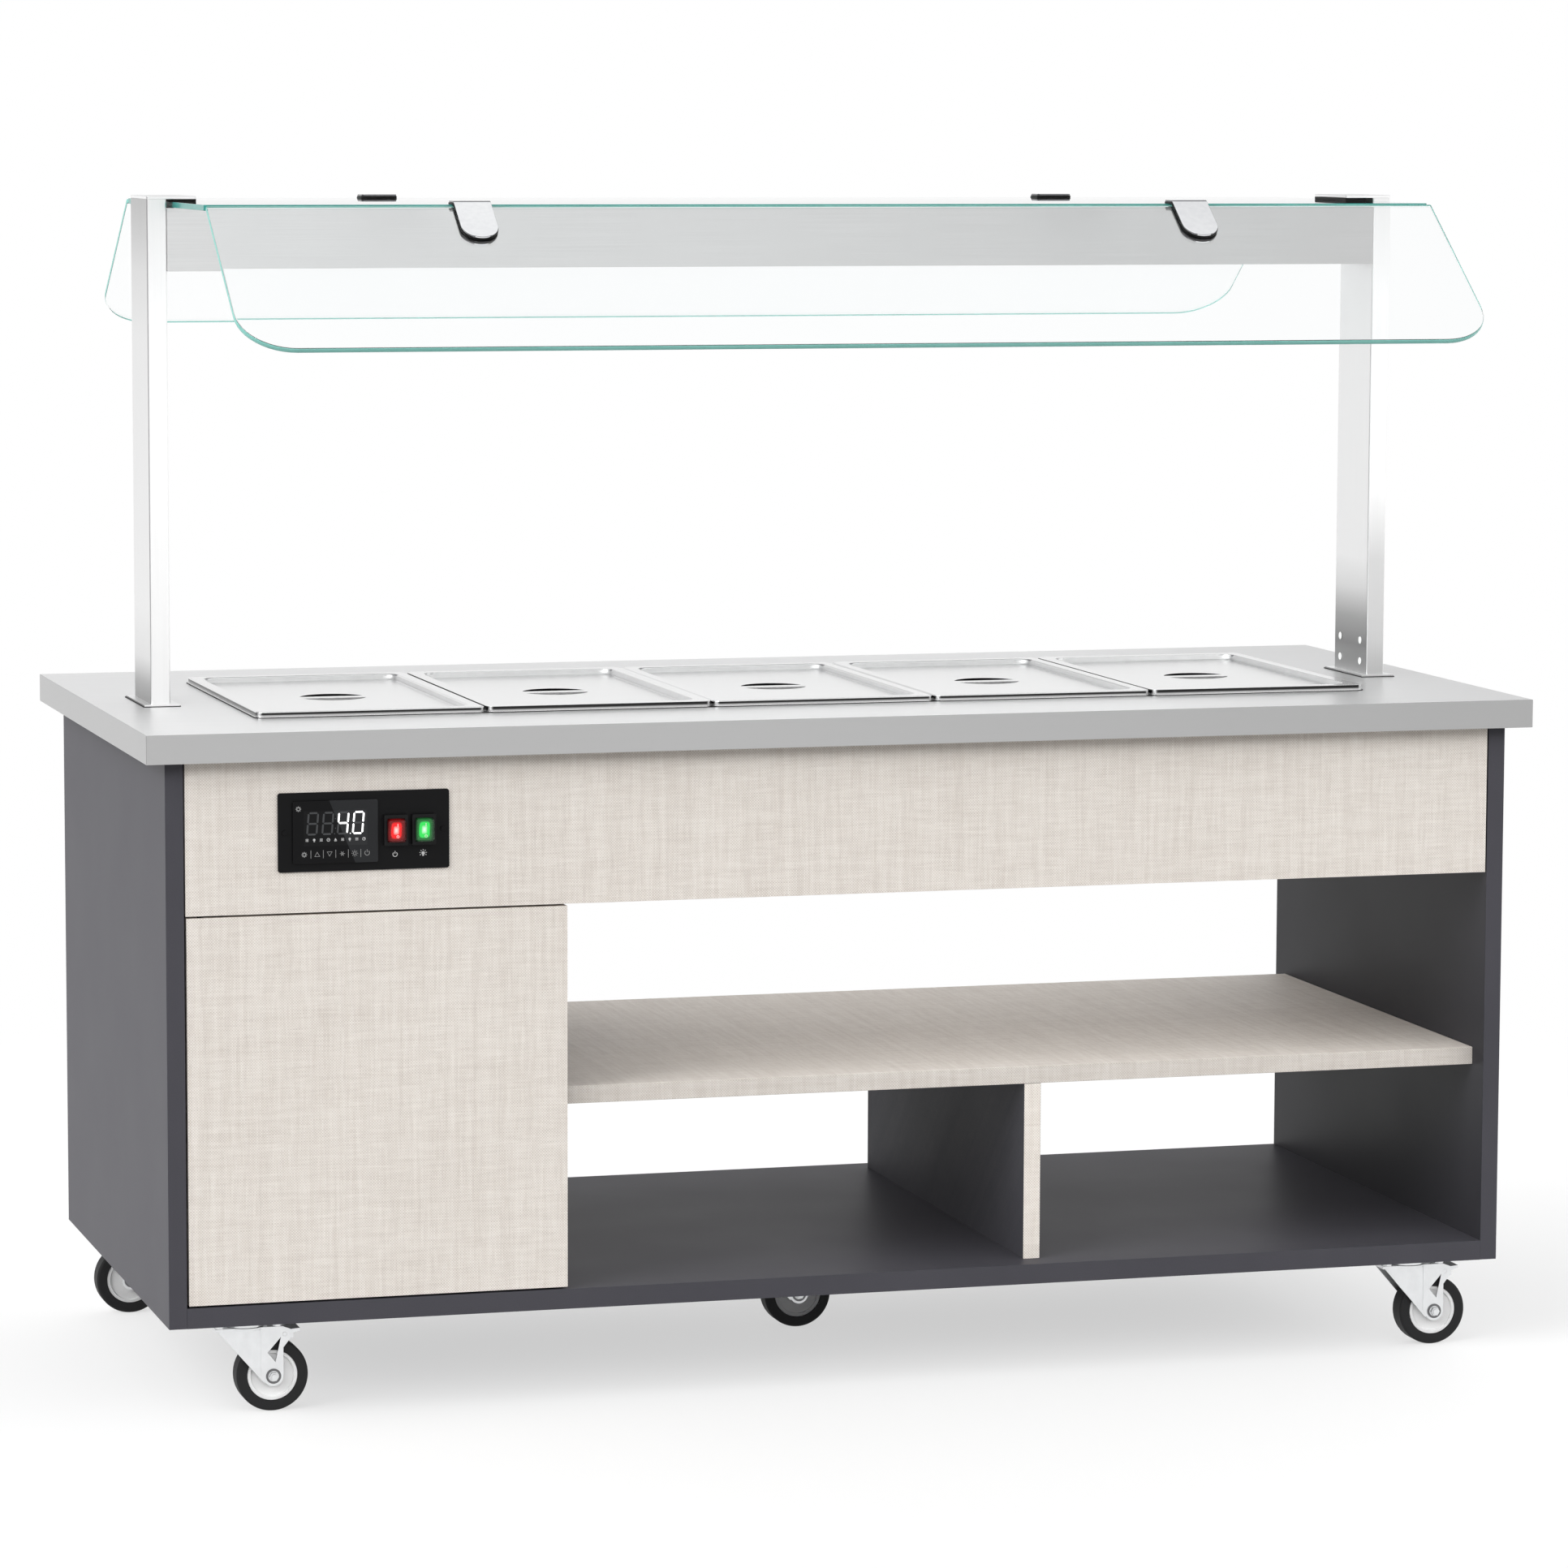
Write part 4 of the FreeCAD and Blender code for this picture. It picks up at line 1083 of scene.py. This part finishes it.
def panel_signs():
    front = box_of("control_plate")[0].y
    power, light = middle_of("power_rocker"), middle_of("light_rocker")
    sign = Marks(power.x, front, power.z)
    power_mark(sign, 0.0, -sign_drop, radius=3.5, stroke=0.9)
    sign.finish("power_sign", white_print)
    bulb = Marks(light.x, front, power.z)
    bulb.disc(0.0, bulb_rise - sign_drop, bulb_radius)
    bulb.bar(0.0, -sign_drop - bulb_radius, length=2.2, width=2.0)
    for i in range(bulb_rays):
        bulb.ray(0.0, bulb_rise - sign_drop, ray_reach, angle=40 * i - 30, length=1.8, width=0.8)
    bulb.finish("light_sign", white_print)


controller_display()
switch_details("power_rocker", red_hood)
switch_details("light_rocker", green_hood)
panel_signs()


# Guard details
def half_round(bm, width, hold, tail):
    # A flat plate with a round end at +Y, and a straight one with small round corners at -Y.
    radius = width / 2
    straight = hold - radius
    first = bm.verts.new((radius, straight, 0))
    made = bmesh.ops.spin(bm, geom=[first], cent=(0, straight, 0), axis=(0, 0, 1), angle=math.pi, steps=24)
    last = made["geom_last"][0]
    corners = [bm.verts.new((x, -tail, 0)) for x in (-radius, radius)]
    for pair in ((last, corners[0]), corners, (corners[1], first)):
        bm.edges.new(pair)
    bmesh.ops.contextual_create(bm, geom=bm.edges[:])
    round_corners(bm, corners, tab_corner, segments=5)


def bend(point, radius):
    # Bends a flat plate down by the panes' slope round the line y = 0, along an arc of the given radius.
    start = radius * math.tan(pane_tilt / 2)
    run = point.y + start
    if run <= 0:
        return point.copy()
    turn = min(run / radius, pane_tilt)
    reach = radius + point.z
    rest = run - turn * radius
    return Vector((point.x, -start + reach * math.sin(turn) + rest * math.cos(turn),
                   -radius + reach * math.cos(turn) - rest * math.sin(turn)))


clamp_x = 0.52
clamp_width = 52 * mm
clamp_hold = 30 * mm
clamp_drop = 78 * mm
clamp_sheet = 2.5 * mm
clamp_gasket = 2.8 * mm
gasket_rim = 0.7 * mm
tab_corner = 7 * mm
outer_bend = 2 * mm
inner_bend = 14 * mm
bend_cuts = 7
pane_gap = 10 * mm
web_length = 40 * mm
web_low, web_high = -9 * mm, -3 * mm
leaf_edge_slope = 0.55


def clamp_leaf(bm, place, low, high, radius, rim=0.0):
    # One bent leaf of a clamp, between two heights from the middle of the glass.
    leaf = bmesh.new()
    half_round(leaf, clamp_width + 2 * rim, clamp_drop + rim, clamp_hold + rim)
    thicken(leaf, leaf.faces[:], (0, 0, high - low))
    round_edges(leaf, sharp_edges(leaf, corner_angle), trim_round, segments=2)
    start = radius * math.tan(pane_tilt / 2)
    for i in range(bend_cuts + 1):
        cut = radius * pane_tilt * i / bend_cuts - start
        everything = leaf.verts[:] + leaf.edges[:] + leaf.faces[:]
        bmesh.ops.bisect_plane(leaf, geom=everything, plane_co=(0, cut, 0), plane_no=(0, 1, 0))
    for vert in leaf.verts:
        vert.co = bend(vert.co + Vector((0, 0, low)), radius)
    leaf.transform(place)
    join(bm, leaf)


def glass_clamps():
    # Each clamp grips the edges of two sheets between two bent chrome leaves lined with black gaskets.
    glass_low, glass_high = box_of("top_glass")
    half = (glass_high.z - glass_low.z) / 2
    seat = half + clamp_gasket
    top = seat + clamp_sheet
    leaves = bmesh.new()
    gaskets = bmesh.new()
    for turn, side in ((0, 1), (math.pi, -1)):
        for x in (-clamp_x, clamp_x):
            hinge = (x, side * (glass_high.y + pane_gap), (glass_low.z + glass_high.z) / 2)
            place = Matrix.Translation(hinge) @ Matrix.Rotation(turn, 4, "Z")
            clamp_leaf(leaves, place, seat, top, outer_bend)
            clamp_leaf(leaves, place, -top, -seat, inner_bend)
            clamp_leaf(gaskets, place, half, seat, outer_bend, gasket_rim)
            clamp_leaf(gaskets, place, -seat, -half, inner_bend, gasket_rim)
            add_block(gaskets, (-web_length / 2, web_low, -seat), (web_length / 2, web_high, seat),
                      trim_round, place=place)
    name = "glass_clamps"
    clamps = finish_piece(name + "_finished", leaves, chrome, body_of(name))
    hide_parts(name)
    # The leaves' steep faces get painted shade
    second_finish(clamps, chrome_edge_shade, lambda polygon: abs(polygon.normal.z) < leaf_edge_slope)
    finish_piece("clamp_gaskets", gaskets, pad_rubber)


cap_pad_inset = 2 * mm
cap_pad_ends = (1 * mm, 33 * mm)


def cap_pads():
    # Rubber pads between the post caps and the top glass, inwards from the ends of the glass.
    glass = box_of("top_glass")[1]
    cap_low, cap_high = box_of("post_caps")
    bm = bmesh.new()
    for side in (-1, 1):
        ends = sorted(side * (glass.x - inwards) for inwards in cap_pad_ends)
        add_block(bm, (ends[0], cap_low.y + cap_pad_inset, glass.z),
                  (ends[1], cap_high.y - cap_pad_inset, cap_low.z), trim_round)
    finish_piece("cap_pads", bm, pad_rubber)


post_inner = 897 * mm
plug_radius = 5.4 * mm
plug_height = 1.2 * mm
plug_spread = 40 * mm
plug_rises = (21 * mm, 52 * mm)


def hole_plugs(side, sign):
    # White plastic plugs in the wire holes at the foot of a post.
    foot = box_of(side + "_post")[0].z
    bm = bmesh.new()
    for y in (-plug_spread, plug_spread):
        for rise in plug_rises:
            plug = bmesh.new()
            bmesh.ops.create_circle(plug, cap_ends=True, segments=32, radius=plug_radius)
            thicken(plug, plug.faces[:], (0, 0, plug_height))
            round_edges(plug, sharp_edges(plug, corner_angle), trim_round, segments=3)
            plug.transform(Matrix.Translation((sign * post_inner, y, foot + rise))
                           @ Matrix.Rotation(math.radians(-90 * sign), 4, "Y"))
            join(bm, plug)
    finish_piece(side + "_hole_plugs", bm, plug_white)


glass_clamps()
cap_pads()
hole_plugs("left", -1)
hole_plugs("right", 1)


# Caster details
leg_face = 23 * mm
washer_radius = 10.5 * mm
washer_wall = 3 * mm
washer_thick = 1.0 * mm
rib_ahead = 17 * mm
rib_width = 2.0 * mm
rib_height = 0.8 * mm
rib_lap = 0.2 * mm
rib_clear = 2 * mm
rib_round = 0.45 * mm


def fork_washers(name):
    # Spring washers under the axle head and nut, painted dark as the shade round the nut.
    centre = middle_of("tyre_" + name)
    bm = bmesh.new()
    for side in (-1, 1):
        y = centre.y + side * leg_face
        place = Matrix.Translation((centre.x, y, centre.z)) @ Matrix.Rotation(math.radians(90), 4, "X")
        faces = flat_ring(bm, place, washer_radius, washer_radius - washer_wall, sides=32)
        thicken(bm, faces, (0, side * washer_thick, 0))
    finish_piece("washers_" + name, bm, washer_shade_steel, "caster_" + name)


def fork_ribs(name):
    # A pressed rib down each leg, ahead of the axle; the rear left caster points the other way.
    centre = middle_of("tyre_" + name)
    top = box_of("fork_" + name)[1].z
    ahead = 1 if name == "rear_left" else -1
    x = centre.x + ahead * rib_ahead
    bm = bmesh.new()
    for side in (-1, 1):
        faces = sorted(centre.y + side * (leg_face + out) for out in (-rib_lap, rib_height))
        add_block(bm, (x - rib_width / 2, faces[0], centre.z + rib_clear),
                  (x + rib_width / 2, faces[1], top - rib_clear), rib_round)
    finish_piece("ribs_" + name, bm, zinc, "caster_" + name)


for name in casters:
    fork_washers(name)
    fork_ribs(name)


# Floor, light and camera
floor_radius = 6.0
floor_grey = grey(0.36)
floor_glow = 0.58
white_from = 1.6
white_full = 3.2
band_strength = 3.1
low_light = grey(0.07)
mirror_shade = (0.2, 0.2, 0.21, 1)
key_direction = (-0.85, -0.35, 0.75)
key_strength = 1.4
key_angle = 40


def make_floor():
    bm = bmesh.new()
    bmesh.ops.create_circle(bm, cap_ends=True, segments=96, radius=floor_radius)
    floor = add_object("floor", to_mesh("floor", bm))
    material, tree, shader = new_material("pale_floor", Roughness=0.9, Base_Color=floor_grey,
                                          Emission_Color=white)
    distance = vector_node(tree, "LENGTH", object_place(tree))["Value"]
    fade = map_range(tree, distance, white_from, white_full, kind="SMOOTHSTEP")
    path = node(tree, "ShaderNodeLightPath").outputs
    shown = math_node(tree, "SUBTRACT", 1.0, path["Is Diffuse Ray"])
    tree.links.new(times(tree, shown, floor_glow), shader.inputs["Emission Strength"])
    seen = times(tree, fade, path["Is Camera Ray"])
    far = node(tree, "ShaderNodeEmission").outputs[0]
    above = mix_shaders(tree, seen, shader.outputs[0], far)
    # Seen from below, the floor is clear.
    clear = node(tree, "ShaderNodeBsdfTransparent").outputs[0]
    surface = mix_shaders(tree, node(tree, "ShaderNodeNewGeometry").outputs["Backfacing"], above, clear)
    tree.links.new(surface, tree.nodes["Material Output"].inputs["Surface"])
    floor.data.materials.append(material)


def make_world():
    # A soft band of light all round above the horizon, with a white background.
    # Mirrored, it is dimmer high up at the back and at the left.
    world = bpy.data.worlds.new("studio")
    world.use_nodes = True
    tree = world.node_tree
    tree.nodes.clear()
    path = node(tree, "ShaderNodeLightPath").outputs
    split = separated(tree, node(tree, "ShaderNodeTexCoord").outputs["Generated"])
    back = ramp(tree, split["Y"], (0.1, black), (0.35, white))
    high = ramp(tree, split["Z"], (0.28, black), (0.42, white), (0.8, white), (0.92, black))
    left = ramp(tree, times(tree, split["X"], -1.0), (0.72, black), (0.85, white))
    dim = math_node(tree, "MAXIMUM", times(tree, back, high), left)
    shade = ramp(tree, dim, (0.0, white), (1.0, mirror_shade))
    band = ramp(tree, split["Z"], (0.22, low_light), (0.30, white), (0.54, white), (0.64, low_light))
    lit, mirrored, shown = (
        node(tree, "ShaderNodeBackground", {"Color": colour, "Strength": strength}).outputs[0]
        for colour, strength in ((band, band_strength), (shade, 1.0), (white, 1.0)))
    seen = math_node(tree, "MAXIMUM", path["Is Camera Ray"], path["Is Transmission Ray"])
    unseen = mix_shaders(tree, path["Is Glossy Ray"], lit, mirrored)
    result = mix_shaders(tree, seen, unseen, shown)
    tree.links.new(result, node(tree, "ShaderNodeOutputWorld").inputs["Surface"])
    bpy.context.scene.world = world


def make_sun(name, direction, strength, angle):
    # A soft distant lamp shining from the given direction.
    lamp = bpy.data.lights.new(name, "SUN")
    lamp.energy = strength
    lamp.angle = math.radians(angle)
    sun = add_object(name, lamp)
    sun.rotation_euler = Vector(direction).to_track_quat("Z", "Y").to_euler()


# The camera fitted to the photograph, with its focal length in pixels of the picture
picture_width = 1932.0
focal_length = 7347.0
sensor_width = 36.0
camera_place = (-2.378, -8.294, 1.781)
camera_turn = math.radians(16.106)
camera_dip = math.radians(6.47)
camera_roll = math.radians(0.192)


def make_camera():
    lens = bpy.data.cameras.new("camera")
    lens.sensor_width = sensor_width
    lens.lens = sensor_width * focal_length / picture_width
    lens.clip_end = 100.0
    camera = add_object("camera", lens)
    camera.location = camera_place
    turn = Matrix.Rotation(-camera_turn, 3, "Z")
    tip = Matrix.Rotation(math.pi / 2 - camera_dip, 3, "X")
    roll = Matrix.Rotation(camera_roll, 3, "Z")
    camera.rotation_euler = (turn @ tip @ roll).to_euler()
    bpy.context.scene.camera = camera


make_floor()
make_world()
make_sun("key", key_direction, key_strength, key_angle)
make_camera()
bpy.context.scene.view_settings.view_transform = "Standard"
